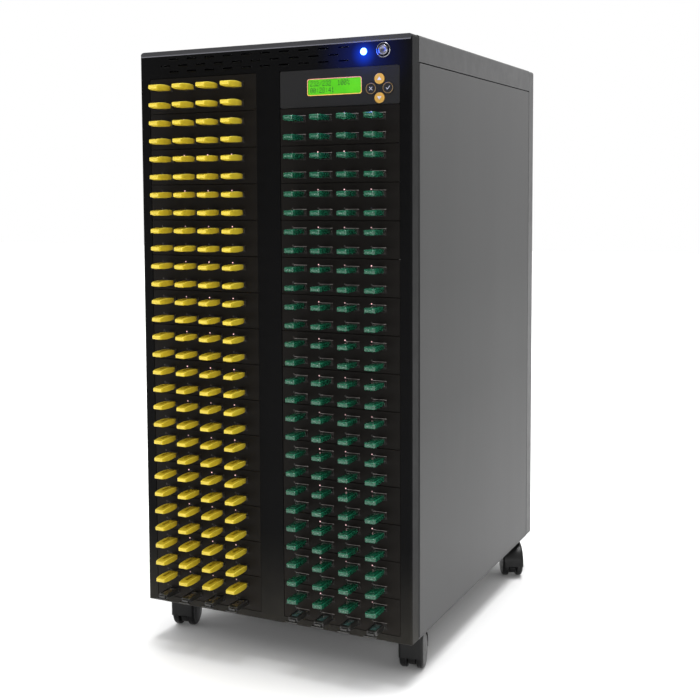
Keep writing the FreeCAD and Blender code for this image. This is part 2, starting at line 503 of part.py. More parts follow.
def guard(cx_, y_, cz_, radii, ear):
    """Finger guard: two crossed bars ending in ear loops under the screws, and concentric rings on the bars."""
    span = ear * math.sqrt(2)
    s = None
    for a in (45.0, 135.0):
        b_ = Part.makeBox(2 * (span - 3.4), 1.6, 1.8, V(-(span - 3.4), 0, -0.9))
        b_.rotate(V(0, 0, 0), V(0, 1, 0), a)
        s = b_ if s is None else s.fuse(b_)
    for a in (-1, 1):
        for b in (-1, 1):
            s = s.fuse(cyl(4.2, 1.6, (a * ear, 0, b * ear), (0, 1, 0)))
    for r in radii:
        s = s.fuse(cyl(r + 0.8, 1.6, (0, 1.4, 0), (0, 1, 0)).cut(cyl(r - 0.8, 4, (0, 0, 0), (0, 1, 0))))
    s = s.cut([cyl(2.15, 4, (a * ear, -1, b * ear), (0, 1, 0)) for a in (-1, 1) for b in (-1, 1)])
    s.translate(V(cx_, y_, cz_))
    return s


frames = []
for fx, fz in fan_c.values():
    fy0, fy1 = YR - SHEET - 0.1 - FAN_T, YR - SHEET - 0.1
    f = rounded_xz(fx - FAN / 2, fx + FAN / 2, fz - FAN / 2, fz + FAN / 2, fy0, fy1, 4.0)
    f = f.cut([cyl(38.0, FAN_T + 2, (fx, fy0 - 1, fz), (0, 1, 0))])
    struts = [cyl(19.0, 3.0, (fx, fy0, fz), (0, 1, 0))]
    for a in (20, 110, 200, 290):
        st = Part.makeBox(40, 3.0, 4.0, V(0, 0, -2.0))
        st.rotate(V(0, 0, 0), V(0, 1, 0), a)
        st.translate(V(fx, fy0, fz))
        struts.append(st.common(cyl(39.0, 3.0, (fx, fy0, fz), (0, 1, 0))))
    f = fuse_all([f] + struts)
    f = f.cut([cyl(2.15, FAN_T + 2, (fx + a * 35.75, fy0 - 1, fz + b * 35.75), (0, 1, 0)) for a in (-1, 1) for b in (-1, 1)]
              + [cyl(1.55, 4.0, (fx, fy0 - 0.5, fz), (0, 1, 0))])
    frames.append(f)
fy0 = YR - SHEET - 0.1 - FAN_T
for side, (fx, fz) in fan_c.items():
    r = rotor(fx, fy0 + 3.8, fz, 36.8, 17.5, 19.5, 7, 6.2)
    r = r.fuse(cyl(1.5, 4.0, (fx, fy0 + 0.2, fz), (0, 1, 0)))
    save("exhaust_fan_rotor_" + side, r)
psu_rotor = rotor(psu_fan[0], pb1 - 21.5, psu_fan[1], 35.8, 16.0, 16.0, 7, 5.4)
save("power_supply_fan_rotor", psu_rotor.fuse(cyl(1.5, 4.2, (psu_fan[0], pb1 - 25.5, psu_fan[1]), (0, 1, 0))))
mf = rounded_xz(psu_fan[0] - 39.0, psu_fan[0] + 39.0, psu_fan[1] - 39.0, psu_fan[1] + 39.0, pb1 - 26.2, pb1 - 1.1, 3.0)
mf = mf.cut(cyl(37.0, 40, (psu_fan[0], pb1 - 30, psu_fan[1]), (0, 1, 0)))
ms = [cyl(15.0, 3.0, (psu_fan[0], pb1 - 26.2, psu_fan[1]), (0, 1, 0))]
for a in (45, 135, 225, 315):
    st = Part.makeBox(39, 3.0, 4.0, V(0, 0, -2.0))
    st.rotate(V(0, 0, 0), V(0, 1, 0), a)
    st.translate(V(psu_fan[0], pb1 - 26.2, psu_fan[1]))
    ms.append(st.common(cyl(38.0, 3.0, (psu_fan[0], pb1 - 26.2, psu_fan[1]), (0, 1, 0))))
mf = fuse_all([mf] + ms).cut([cyl(1.55, 4.0, (psu_fan[0], pb1 - 26.7, psu_fan[1]), (0, 1, 0))]
                             + [cyl(2.1, 40, (psu_fan[0] + a * 29.0, pb1 - 30, psu_fan[1] + b * 29.0), (0, 1, 0)) for a in (-1, 1) for b in (-1, 1)])
frames.append(mf)
save("fan_frames", frames)
guards = [guard(fx, YR + 0.05, fz, (10.0, 18.0, 26.0, 34.0), 35.75) for fx, fz in fan_c.values()]
guards.append(guard(psu_fan[0], pb1 + 0.05, psu_fan[1], (9.0, 17.0, 25.0, 33.0), 29.0))
save("fan_guards", guards)

# mains inlet with its rocker switch housing, in one moulding
ix, iz = inlet
body = [box(ix - 13.4, ix + 13.4, pb1 - 26.0, pb1 + 0.2, iz - 9.8, iz + 42.8),
        rounded_xz(ix - 16.0, ix + 16.0, iz - 12.4, iz + 45.4, pb1 + 0.05, pb1 + 2.2, 2.0)]
body = fuse_all(body)
recess = prism([(ix - 11.9, pb1 + 3, iz + 8.1), (ix + 11.9, pb1 + 3, iz + 8.1), (ix + 11.9, pb1 + 3, iz - 3.4), (ix + 7.6, pb1 + 3, iz - 8.1),
                (ix - 7.6, pb1 + 3, iz - 8.1), (ix - 11.9, pb1 + 3, iz - 3.4)], (0, -20.5, 0))
rk = (ix, iz + 29.0)
rockwell = box(rk[0] - 6.6, rk[0] + 6.6, pb1 - 12.0, pb1 + 3, rk[1] - 10.4, rk[1] + 10.4)
body = body.cut([recess, rockwell, cyl(1.56, 16.4, (rk[0] - 8.2, pb1 - 4.0, rk[1]), (1, 0, 0))])
save("mains_inlet", body)
pins = []
for dx, dz in ((-7.0, -1.6), (7.0, -1.6), (0.0, 2.4)):
    pins.append(box(ix + dx - 1.0, ix + dx + 1.0, pb1 - 17.5, pb1 - 4.0, iz + dz - 2.0, iz + dz + 2.0))
save("mains_inlet_pins", pins)
# rocker: pivots about X at its centre, at rest tipped 7 degrees
ry = pb1 - 4.0
prof = [(rk[0] - 6.2, ry - 5.0, rk[1] - 3.0), (rk[0] - 6.2, ry - 5.0, rk[1] + 3.0), (rk[0] - 6.2, ry + 0.6, rk[1] + 9.3),
        (rk[0] - 6.2, ry + 5.2, rk[1] + 8.9), (rk[0] - 6.2, ry + 4.0, rk[1]), (rk[0] - 6.2, ry + 5.2, rk[1] - 8.9),
        (rk[0] - 6.2, ry + 0.6, rk[1] - 9.3)]
rocker = prism(prof, (12.4, 0, 0)).fuse(cyl(1.5, 16.0, (rk[0] - 8.0, ry, rk[1]), (1, 0, 0)))
rocker.rotate(V(rk[0], ry, rk[1]), V(1, 0, 0), 7.0)
save("power_rocker_switch", rocker)
ROCKER_PIVOT = (rk[0], ry, rk[1])

# ---------------------------------------------------------------- screws
def pan_screw(px, y_, pz, head_r=3.6, head_h=2.4, shank_r=1.9, shank_l=6.0):
    h = cyl(head_r, head_h, (px, y_, pz), (0, 1, 0))
    h = h.makeFillet(0.9, [e for e in h.Edges if abs(e.BoundBox.YMin - (y_ + head_h)) < 1e-6])
    h = fuse_all([h, cyl(shank_r, shank_l + 0.1, (px, y_ - shank_l, pz), (0, 1, 0))])
    return h.cut([box(px - 1.9, px + 1.9, y_ + head_h - 1.1, y_ + head_h + 1, pz - 0.35, pz + 0.35),
                  box(px - 0.35, px + 0.35, y_ + head_h - 1.1, y_ + head_h + 1, pz - 1.9, pz + 1.9)])


screws = [pan_screw(px, YR + 0.02, pz) for px, pz in PANEL_SCREWS + PSU_SCREWS]
for fx, fz in fan_c.values():
    for a in (-1, 1):
        for b in (-1, 1):
            screws.append(pan_screw(fx + a * 35.75, YR + 1.67, fz + b * 35.75, 4.0, 2.2, 1.9, 9.0))
for a in (-1, 1):
    for b in (-1, 1):
        screws.append(pan_screw(psu_fan[0] + a * 29.0, pb1 + 1.67, psu_fan[1] + b * 29.0, 4.0, 2.0, 1.9, 7.0))
save("panel_screws", screws)
thumbs = []
for px, pz in THUMBS:
    t = cyl(5.5, 5.6, (px, YR + 0.4, pz), (0, 1, 0))
    t = t.makeFillet(0.8, [e for e in t.Edges if abs(e.BoundBox.YMin - (YR + 6.0)) < 1e-6])
    t = t.cut([cyl(0.55, 6, (px + 5.6 * math.cos(math.radians(a)), YR + 0.9, pz + 5.6 * math.sin(math.radians(a))), (0, 1, 0))
               for a in range(0, 360, 20)])
    t = fuse_all([t, cyl(1.9, 7.0, (px, YR - 6.0, pz), (0, 1, 0)), cyl(4.0, 0.5, (px, YR + 0.02, pz), (0, 1, 0))])
    t = t.cut(box(px - 3.0, px + 3.0, YR + 5.0, YR + 7.0, pz - 0.4, pz + 0.4))
    thumbs.append(t)
save("thumb_screws", thumbs)

# ---------------------------------------------------------------- wiring harness
trunk_y = YF + 210.0
tz1 = bay_z(BAYS - 1) + 20.0
tz0 = psu_z0 + 60.0
R = 45.0
ty_end = pb0 + 4.0
wires = []
e = [Part.LineSegment(V(0, trunk_y, tz1), V(0, trunk_y, tz0 + R)).toShape(),
     Part.Arc(V(0, trunk_y, tz0 + R), V(0, trunk_y + R * (1 - math.sqrt(0.5)), tz0 + R * (1 - math.sqrt(0.5))), V(0, trunk_y + R, tz0)).toShape(),
     Part.LineSegment(V(0, trunk_y + R, tz0), V(0, ty_end, tz0)).toShape()]
prof_w = Part.Wire([Part.Circle(V(0, trunk_y, tz1), V(0, 0, 1), 5.0).toShape()])
trunk = Part.Wire(e).makePipeShell([prof_w], True, False)
wires.append(trunk)
br = 2.2
for (mx, mz) in MODULES + [(COL_X, bay_z(BAYS - 1))]:
    s = 1 if mx > 0 else -1
    xe = mx + 40.0
    wz = mz + 21.0
    rr = 24.0
    ye_ = (by + 1.6 + 9.2) if mz < bay_z(BAYS - 1) or mx < 0 else (YF + 13.2 + 9.4)
    xs = s * 5.2
    e = [Part.LineSegment(V(xs, trunk_y, wz), V(xe - s * rr, trunk_y, wz)).toShape(),
         Part.Arc(V(xe - s * rr, trunk_y, wz), V(xe - s * rr * (1 - math.sqrt(0.5)), trunk_y - rr * (1 - math.sqrt(0.5)), wz),
                  V(xe, trunk_y - rr, wz)).toShape(),
         Part.LineSegment(V(xe, trunk_y - rr, wz), V(xe, ye_, wz)).toShape()]
    pw = Part.Wire([Part.Circle(V(xs, trunk_y, wz), V(1, 0, 0), br).toShape()])
    wires.append(Part.Wire(e).makePipeShell([pw], True, False))
save("wiring_harness", wires)

# ---------------------------------------------------------------- casters
def place(shape, key):
    s = shape.copy()
    s.rotate(V(0, 0, 0), V(0, 0, 1), CASTER_YAW[key])
    sx_, sy_ = STEMS[key]
    s.translate(V(sx_, sy_, 0))
    return s


stem = fuse_all([cyl(STEM_R, 23.5, (0, 0, 35.0), (0, 0, 1)), cyl(8.0, 2.0, (0, 0, ZC - 2.0), (0, 0, 1)),
                 prism([(7.5 * math.cos(math.radians(60 * i)), 7.5 * math.sin(math.radians(60 * i)), ZC + 1.5) for i in range(6)], (0, 0, 6.0))])
# hood: a full-width shroud over both wheels, open below the axle, with a web between them; the stem turns in its boss
side = [(-8.8, 17.5), (-8.8, 38.5), (-6.6, 44.0), (-1.0, 46.8), (8.0, 47.0), (20.0, 44.4), (29.0, 38.5), (35.2, 29.5), (36.8, 21.0), (36.7, 17.5)]
pts = [V(-HOOD_W / 2, y_, z_) for y_, z_ in side]
crown = Part.BSplineCurve()
crown.interpolate(pts[1:])
low = [pts[-1]] + [V(-HOOD_W / 2, y_, z_) for y_, z_ in ((21.0, 14.6), (7.0, 14.6))] + [pts[0]]
e = [Part.LineSegment(pts[0], pts[1]).toShape(), crown.toShape()]
e += [Part.LineSegment(low[i], low[i + 1]).toShape() for i in range(len(low) - 1)]
hood = Part.Face(Part.Wire(e)).extrude(V(HOOD_W, 0, 0))
long_edges = [g for g in hood.Edges if abs(g.BoundBox.XMax - g.BoundBox.XMin) < 1e-6
              and (g.BoundBox.ZMax > 46.0 or (g.BoundBox.YMax < -8.7 and g.BoundBox.ZLength > 20.0))]
hood = hood.makeFillet(3.4, long_edges)
hood = hood.cut([cyl(WHEEL_R + 0.9, 14.0, (s * 4.9, TRAIL, WHEEL_R), (s, 0, 0)) for s in (-1, 1)])
hood = hood.cut(cyl(STEM_R + 0.05, 30.0, (0, 0, 34.0), (0, 0, 1)))
hood = hood.cut(cyl(AXLE_R + 0.02, 12.0, (-6.0, TRAIL, WHEEL_R), (1, 0, 0)))
axle = cyl(AXLE_R, 26.8, (-13.4, TRAIL, WHEEL_R), (1, 0, 0))
# wheel: flat tread, rounded shoulder, raised outer face, blind bore from the inside
def wheel(s):
    x_in = WHEEL_IN
    tread = cyl(WHEEL_R, WHEEL_W - 1.7, (x_in + 0.9, 0, 0), (1, 0, 0))
    shoulder = [e for e in tread.Edges if e.BoundBox.XMin > x_in + WHEEL_W - 0.9 and e.BoundBox.ZLength > 30]
    tread = tread.makeFillet(3.4, shoulder)
    inner_cone = Part.makeCone(WHEEL_R - 1.0, WHEEL_R, 0.95, V(x_in, 0, 0), V(1, 0, 0))
    cap_ = Part.makeCone(15.4, 7.0, 0.9, V(x_in + WHEEL_W - 0.9, 0, 0), V(1, 0, 0))
    solid = tread.fuse([inner_cone, cap_])
    solid = solid.cut(cyl(AXLE_R + 0.06, 8.2, (x_in - 0.1, 0, 0), (1, 0, 0)))
    if s < 0:
        solid = solid.mirror(V(0, 0, 0), V(1, 0, 0))
    solid.translate(V(0, TRAIL, WHEEL_R))
    return solid


wheels = {"left": wheel(-1), "right": wheel(1)}
save("caster_stems", [place(stem, k) for k in STEMS])
for k in STEMS:
    save("caster_%s_hood" % k, [place(hood, k), place(axle, k)])
    for side_name, w in wheels.items():
        save("caster_%s_wheel_%s" % (k, side_name), place(w, k))

# ---------------------------------------------------------------- summary
print("YF", round(YF, 3), "YR", round(YR, 3), "nodes", len(MADE))
for n, c, v in MADE:
    print("%-32s solids %4d volume %12.1f" % (n, c, v))
print("rocker pivot", [round(a, 3) for a in ROCKER_PIVOT])
print("psu fan", psu_fan, "inlet", inlet, "pb1", pb1)
print("keys", KEYS, "lcd", LCD)
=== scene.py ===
import math

import bmesh
import bpy
import numpy as np
from mathutils import Matrix, Vector


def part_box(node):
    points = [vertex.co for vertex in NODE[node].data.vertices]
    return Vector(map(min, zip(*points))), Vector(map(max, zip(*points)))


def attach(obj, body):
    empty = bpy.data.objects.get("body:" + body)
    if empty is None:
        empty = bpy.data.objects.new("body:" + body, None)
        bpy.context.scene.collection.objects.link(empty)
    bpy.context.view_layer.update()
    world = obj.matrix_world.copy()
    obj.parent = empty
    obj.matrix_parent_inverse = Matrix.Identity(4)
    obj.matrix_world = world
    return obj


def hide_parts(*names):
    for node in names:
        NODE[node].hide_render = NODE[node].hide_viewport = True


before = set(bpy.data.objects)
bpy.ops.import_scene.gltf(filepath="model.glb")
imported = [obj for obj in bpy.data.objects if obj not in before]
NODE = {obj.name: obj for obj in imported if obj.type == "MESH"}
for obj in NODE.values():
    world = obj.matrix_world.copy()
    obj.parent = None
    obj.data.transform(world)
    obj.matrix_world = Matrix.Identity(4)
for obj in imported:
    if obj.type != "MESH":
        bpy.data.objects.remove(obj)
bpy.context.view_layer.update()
MM = 0.001

# ------------------------------------------------------------------ sizes shared with the CAD, in millimetres
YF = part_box("control_panel_plate")[0].y / MM          # front face of the cabinet
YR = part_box("rear_panel")[1].y / MM
ZC = 50.0
COL_X = 88.25
BAY_H, BAYS, BAY_BOTTOM = 42.3, 15, 8.7
PORT_PITCH, PORT_ROWS = 32.4, (8.8, 29.9)
DRIVE_GAP = 0.6


def bay_z(k):
    return ZC + BAY_BOTTOM + BAY_H * k


# ------------------------------------------------------------------ materials
def new_mat(name):
    m = bpy.data.materials.new(name)
    m.use_nodes = True
    nt = m.node_tree
    bsdf = nt.nodes["Principled BSDF"]
    return m, nt, bsdf


def link(nt, a, b):
    nt.links.new(a, b)


def noise(nt, coord, scale, detail=4.0, rough=0.55, distortion=0.0, stretch=None):
    src = coord
    if stretch:
        mp = nt.nodes.new("ShaderNodeMapping")
        mp.inputs["Scale"].default_value = stretch
        link(nt, coord, mp.inputs["Vector"])
        src = mp.outputs["Vector"]
    n = nt.nodes.new("ShaderNodeTexNoise")
    n.inputs["Scale"].default_value = scale
    n.inputs["Detail"].default_value = detail
    n.inputs["Roughness"].default_value = rough
    n.inputs["Distortion"].default_value = distortion
    link(nt, src, n.inputs["Vector"])
    return n.outputs["Fac"]


def remap(nt, val, a, b, c, d):
    r = nt.nodes.new("ShaderNodeMapRange")
    r.inputs["From Min"].default_value = a
    r.inputs["From Max"].default_value = b
    r.inputs["To Min"].default_value = c
    r.inputs["To Max"].default_value = d
    link(nt, val, r.inputs["Value"])
    return r.outputs["Result"]


def mix_rgb(nt, fac, c1, c2, blend="MIX"):
    m = nt.nodes.new("ShaderNodeMix")
    m.data_type = "RGBA"
    m.blend_type = blend
    if isinstance(fac, float):
        m.inputs[0].default_value = fac
    else:
        link(nt, fac, m.inputs[0])
    for sock, c in ((m.inputs[6], c1), (m.inputs[7], c2)):
        if isinstance(c, (tuple, list)):
            sock.default_value = (*c, 1.0) if len(c) == 3 else c
        else:
            link(nt, c, sock)
    return m.outputs[2]


def add_bump(nt, bsdf, height, strength, distance, socket="Normal"):
    b = nt.nodes.new("ShaderNodeBump")
    b.inputs["Strength"].default_value = strength
    b.inputs["Distance"].default_value = distance
    link(nt, height, b.inputs["Height"])
    link(nt, b.outputs["Normal"], bsdf.inputs[socket])
    return b


def coords(nt):
    return nt.nodes.new("ShaderNodeTexCoord").outputs["Object"]


def split_xyz(nt, coord):
    s = nt.nodes.new("ShaderNodeSeparateXYZ")
    link(nt, coord, s.inputs[0])
    return s.outputs


def surface(name, base, rough, metal=0.0, var=0.12, var_scale=35.0, rough_var=0.06, grain=1400.0, grain_depth=0.00002, grain_strength=0.35,
            spec=0.5, coat=0.0, coat_rough=0.15, stretch=None, tint=None, smudge=0.0):
    """Colour that drifts slightly over the surface, uneven gloss with faint smudges, and a fine grain."""
    m, nt, bsdf = new_mat(name)
    c = coords(nt)
    big = noise(nt, c, var_scale, 5.0, 0.6)
    fine = noise(nt, c, grain, 3.0, 0.6, stretch=stretch)
    mid = noise(nt, c, var_scale * 6.0, 4.0, 0.65, 0.4)
    dark = tuple(max(0.0, x * (1.0 - var)) for x in base)
    light = tuple(min(1.0, x * (1.0 + var) + (0.0 if tint is None else 0.0)) for x in base)
    if tint is not None:
        light = tuple(a * 0.7 + b * 0.3 for a, b in zip(light, tint))
    f1 = remap(nt, big, 0.3, 0.7, 0.0, 1.0)
    col = mix_rgb(nt, f1, dark, light)
    f2 = remap(nt, fine, 0.35, 0.65, 0.0, 0.5)
    col = mix_rgb(nt, f2, col, tuple(min(1.0, x * 1.22 + 0.0006) for x in base))
    link(nt, col, bsdf.inputs["Base Color"])
    r = remap(nt, mid, 0.25, 0.75, max(0.02, rough - rough_var), min(1.0, rough + rough_var))
    if smudge:
        sm = noise(nt, c, var_scale * 1.7, 6.0, 0.7, 1.2)
        r2 = remap(nt, sm, 0.55, 0.75, 0.0, smudge)
        add = nt.nodes.new("ShaderNodeMath")
        add.operation = "ADD"
        add.use_clamp = True
        link(nt, r, add.inputs[0])
        link(nt, r2, add.inputs[1])
        r = add.outputs[0]
    link(nt, r, bsdf.inputs["Roughness"])
    bsdf.inputs["Metallic"].default_value = metal
    bsdf.inputs["Specular IOR Level"].default_value = spec
    if coat:
        bsdf.inputs["Coat Weight"].default_value = coat
        bsdf.inputs["Coat Roughness"].default_value = coat_rough
    if grain_depth:
        add_bump(nt, bsdf, fine, grain_strength, grain_depth)
    return m


M = {}
M["cabinet"] = surface("satin_black_powder_coat", (0.0095, 0.0095, 0.0105), 0.40, var=0.10, var_scale=9.0, rough_var=0.035, grain=1500.0,
                       grain_depth=0.00003, grain_strength=0.30, spec=0.5, smudge=0.05)
LAMP = Vector((118.9, YF - 2.0, ZC + 659.2)) * MM


def front_material(name, base, low, rough, spec, z_low, z_high, painted_lamp_glow):
    """Satin black whose colour is painted lighter towards its lower edge, a painted light from the floor; round the
    power lamp a painted blue glow is added as emission.
    """
    m, nt, bsdf = new_mat(name)
    c = coords(nt)
    xyz = split_xyz(nt, c)
    big = noise(nt, c, 9.0, 5.0, 0.6)
    fine = noise(nt, c, 1500.0, 3.0, 0.6)
    col = mix_rgb(nt, remap(nt, big, 0.3, 0.7, 0.0, 1.0), tuple(x * 0.88 for x in base), tuple(x * 1.12 for x in base))
    col = mix_rgb(nt, remap(nt, fine, 0.35, 0.65, 0.0, 0.5), col, tuple(x * 1.22 + 0.0004 for x in base))
    # painted floor light: the colour turns to low at z_low and fades out by z_high
    painted_floor_light = remap(nt, xyz[2], z_low * MM, z_high * MM, 1.0, 0.0)
    patch = remap(nt, noise(nt, c, 22.0, 5.0, 0.65), 0.3, 0.7, 0.75, 1.0)
    d = nt.nodes.new("ShaderNodeMath")
    d.operation = "MULTIPLY"
    link(nt, painted_floor_light, d.inputs[0])
    link(nt, patch, d.inputs[1])
    sq = nt.nodes.new("ShaderNodeMath")
    sq.operation = "POWER"
    link(nt, d.outputs[0], sq.inputs[0])
    sq.inputs[1].default_value = 1.6
    col = mix_rgb(nt, sq.outputs[0], col, low)
    link(nt, col, bsdf.inputs["Base Color"])
    link(nt, remap(nt, noise(nt, c, 54.0, 4.0, 0.65, 0.4), 0.25, 0.75, rough - 0.035, rough + 0.035), bsdf.inputs["Roughness"])
    bsdf.inputs["Specular IOR Level"].default_value = spec
    add_bump(nt, bsdf, fine, 0.30, 0.00003)
    # painted light: a blue glow round the power lamp, emitted by the frame's own paint
    if painted_lamp_glow:
        v = nt.nodes.new("ShaderNodeVectorMath")
        v.operation = "DISTANCE"
        link(nt, c, v.inputs[0])
        v.inputs[1].default_value = LAMP - Vector((0.0, 0.0, 2.5)) * MM
        near = remap(nt, v.outputs["Value"], 3.5 * MM, 16.0 * MM, 1.0, 0.0)
        wide = remap(nt, v.outputs["Value"], 6.0 * MM, 62.0 * MM, 1.0, 0.0)
        for node, power in ((near, 1.5), (wide, 2.0)):
            pw = nt.nodes.new("ShaderNodeMath")
            pw.operation = "POWER"
            link(nt, node, pw.inputs[0])
            pw.inputs[1].default_value = power
            if power == 1.5:
                near = pw.outputs[0]
            else:
                wide = pw.outputs[0]
        glow = mix_rgb(nt, wide, (0.0, 0.0, 0.0), (0.0006, 0.0060, 0.100))
        glow = mix_rgb(nt, near, glow, (0.0010, 0.032, 0.56))
        link(nt, glow, bsdf.inputs["Emission Color"])
        bsdf.inputs["Emission Strength"].default_value = 1.0
    return m


M["front"] = front_material("satin_black_front_frame", (0.0026, 0.0026, 0.0028), (0.030, 0.028, 0.024), 0.40, 0.045, 52.0, 165.0, True)
# painted highlight: a lighter powder coat for the upward-facing band and bevels
M["bevel"] = surface("powder_coat_bevel_painted_highlight", (0.021, 0.021, 0.0235), 0.34, var=0.16, var_scale=14.0, rough_var=0.04, grain=1500.0,
                     grain_depth=0.00003, grain_strength=0.25, spec=0.28, smudge=0.04)


def paint_arris_highlight(m, z0, z1, light):
    """Painted highlight: a paler line where the sloping band meets the front face, between the heights z0 and z1 in
    millimetres.
    """
    nt = m.node_tree
    bsdf = next(n for n in nt.nodes if n.type == "BSDF_PRINCIPLED")
    was = bsdf.inputs["Base Color"].links[0].from_socket
    z = split_xyz(nt, coords(nt))[2]
    f = nt.nodes.new("ShaderNodeMath")
    f.operation = "MULTIPLY"
    link(nt, remap(nt, z, (z0 - 0.5) * MM, z0 * MM, 0.0, 1.0), f.inputs[0])
    link(nt, remap(nt, z, z1 * MM, (z1 + 0.5) * MM, 1.0, 0.0), f.inputs[1])
    link(nt, mix_rgb(nt, f.outputs[0], was, light), bsdf.inputs["Base Color"])


paint_arris_highlight(M["bevel"], 719.3, 720.4, (0.105, 0.105, 0.118))
# the bezels carry the same painted floor light towards the bottom, without the lamp glow
M["bezel"] = front_material("bezel_textured_black", (0.0052, 0.0043, 0.0036), (0.017, 0.0145, 0.012), 0.50, 0.09, 56.0, 190.0, False)
# painted highlight: pale grey for the raised port rims
M["rim"] = surface("port_rim_painted_highlight", (0.30, 0.27, 0.27), 0.42, var=0.25, var_scale=120.0, rough_var=0.08, grain=2500.0, grain_depth=0.00002)


def rim_material(name, top, right, rest):
    """The moulded frame around each port: its upper edge is painted bright as a painted highlight, its right edge less
    so, in broken patches.
    """
    m, nt, bsdf = new_mat(name)
    c = coords(nt)
    xyz = split_xyz(nt, c)

    def op(kind, a, b):
        n = nt.nodes.new("ShaderNodeMath")
        n.operation = kind
        for i, x in enumerate((a, b)):
            if x is None:
                continue
            if isinstance(x, (int, float)):
                n.inputs[i].default_value = x
            else:
                link(nt, x, n.inputs[i])
        return n.outputs[0]

    def local(sock, centre, pitch):
        t = op("DIVIDE", op("SUBTRACT", sock, centre * MM), pitch * MM)
        return op("MULTIPLY", op("SUBTRACT", op("FRACT", op("ADD", t, 100.5), None), 0.5), pitch)

    dz = local(xyz[2], bay_z(0) + 0.15 + PORT_ROWS[0], BAY_H / 2.0)
    dx = local(xyz[0], COL_X - 1.5 * PORT_PITCH, PORT_PITCH)
    highlight_patches = remap(nt, noise(nt, c, 160.0, 4.0, 0.65), 0.3, 0.7, 0.35, 1.0)
    # painted highlight on the upper edge of each rim, and a fainter one on the right edge
    f_top = op("MULTIPLY", op("GREATER_THAN", dz, 3.25), highlight_patches)
    f_right = op("MULTIPLY", op("GREATER_THAN", dx, 7.4), highlight_patches)
    fine = noise(nt, c, 2500.0, 3.0, 0.6)
    col = mix_rgb(nt, f_right, rest, right)
    col = mix_rgb(nt, f_top, col, top)
    link(nt, col, bsdf.inputs["Base Color"])
    link(nt, remap(nt, fine, 0.3, 0.7, 0.34, 0.5), bsdf.inputs["Roughness"])
    bsdf.inputs["Specular IOR Level"].default_value = 0.3
    add_bump(nt, bsdf, fine, 0.3, 0.00002)
    return m


M["rim_right"] = rim_material("port_rim_painted_top_highlight", (0.31, 0.283, 0.268), (0.024, 0.021, 0.019), (0.007, 0.006, 0.0055))
M["rim_left"] = rim_material("port_rim_dark", (0.024, 0.021, 0.017), (0.011, 0.009, 0.008), (0.0075, 0.0064, 0.0056))
M["plate"] = surface("control_plate_film", (0.0112, 0.0110, 0.0112), 0.46, var=0.06, var_scale=20.0, rough_var=0.04, grain=3500.0,
                     grain_depth=0.00002, grain_strength=0.35, spec=0.17)
M["socket"] = surface("nickel_shell", (0.07, 0.066, 0.062), 0.45, metal=1.0, var=0.1, var_scale=200.0, grain=900.0, stretch=(1.0, 0.06, 1.0))
M["plug"] = surface("nickel_plug", (0.24, 0.235, 0.225), 0.34, metal=1.0, var=0.08, var_scale=160.0, grain=1200.0, stretch=(1.0, 0.05, 1.0))
M["tongue"] = surface("socket_tongue_black", (0.02, 0.02, 0.02), 0.5, grain=2500.0)
M["steel"] = surface("zinc_plated_sheet", (0.52, 0.53, 0.54), 0.38, metal=1.0, var=0.16, var_scale=70.0, rough_var=0.1, grain=700.0)
M["board"] = surface("green_solder_mask", (0.01, 0.10, 0.035), 0.35, var=0.2, var_scale=90.0, coat=0.5, grain=1500.0)
M["fan"] = surface("fan_black_plastic", (0.014, 0.014, 0.015), 0.42, var=0.12, var_scale=60.0, grain=1800.0)
M["guard"] = surface("guard_chromed_wire", (0.66, 0.66, 0.68), 0.2, metal=1.0, var=0.06, var_scale=150.0, grain=900.0)
M["screw"] = surface("black_zinc_screw", (0.05, 0.05, 0.052), 0.32, metal=0.9, var=0.2, var_scale=180.0, grain=1500.0)
M["thumb"] = surface("nickel_thumb_screw", (0.6, 0.6, 0.61), 0.27, metal=1.0, var=0.1, var_scale=200.0, grain=1500.0)
M["inlet"] = surface("inlet_black_moulding", (0.016, 0.016, 0.017), 0.4, var=0.1, var_scale=80.0, grain=2200.0)
M["pins"] = surface("inlet_pins_plated", (0.75, 0.66, 0.42), 0.25, metal=1.0, var=0.08, var_scale=200.0, grain=1500.0)
M["rocker"] = surface("rocker_gloss_black", (0.02, 0.02, 0.021), 0.22, var=0.08, var_scale=80.0, grain=1600.0, grain_depth=0.00001, coat=0.3)
M["wire"] = surface("wire_jacket", (0.03, 0.03, 0.03), 0.5, var=0.15, var_scale=60.0, grain=900.0)
M["nylon"] = surface("caster_nylon", (0.0062, 0.0062, 0.0062), 0.36, var=0.15, var_scale=45.0, rough_var=0.07, grain=1500.0, grain_depth=0.00003,
                     grain_strength=0.35, spec=0.22, smudge=0.08)
M["wheel"] = surface("caster_wheel_nylon", (0.0052, 0.0052, 0.0054), 0.30, var=0.18, var_scale=60.0, rough_var=0.08, grain=1300.0,
                     grain_depth=0.00003, spec=0.22, smudge=0.12)
M["stem"] = surface("stem_zinc", (0.5, 0.5, 0.5), 0.35, metal=1.0, var=0.1, var_scale=150.0, grain=1200.0)
M["chrome"] = surface("button_chrome", (0.24, 0.24, 0.27), 0.16, metal=1.0, var=0.05, var_scale=120.0, rough_var=0.04, grain=2200.0,
                      grain_depth=0.00001, grain_strength=0.15)
M["chrome_cap"] = surface("button_cap_brushed", (0.21, 0.21, 0.25), 0.28, metal=1.0, var=0.08, var_scale=160.0, rough_var=0.05, grain=2000.0,
                          grain_depth=0.00001, grain_strength=0.2)
M["gold"] = surface("key_gold", (0.50, 0.275, 0.045), 0.34, var=0.10, var_scale=120.0, rough_var=0.06, grain=2500.0, coat=0.35)
M["keyblack"] = surface("key_black", (0.008, 0.008, 0.010), 0.30, var=0.1, var_scale=120.0, rough_var=0.05, grain=2500.0, coat=0.3)
M["print"] = surface("key_print_white", (0.50, 0.50, 0.55), 0.5, var=0.05, var_scale=300.0, grain=4000.0)
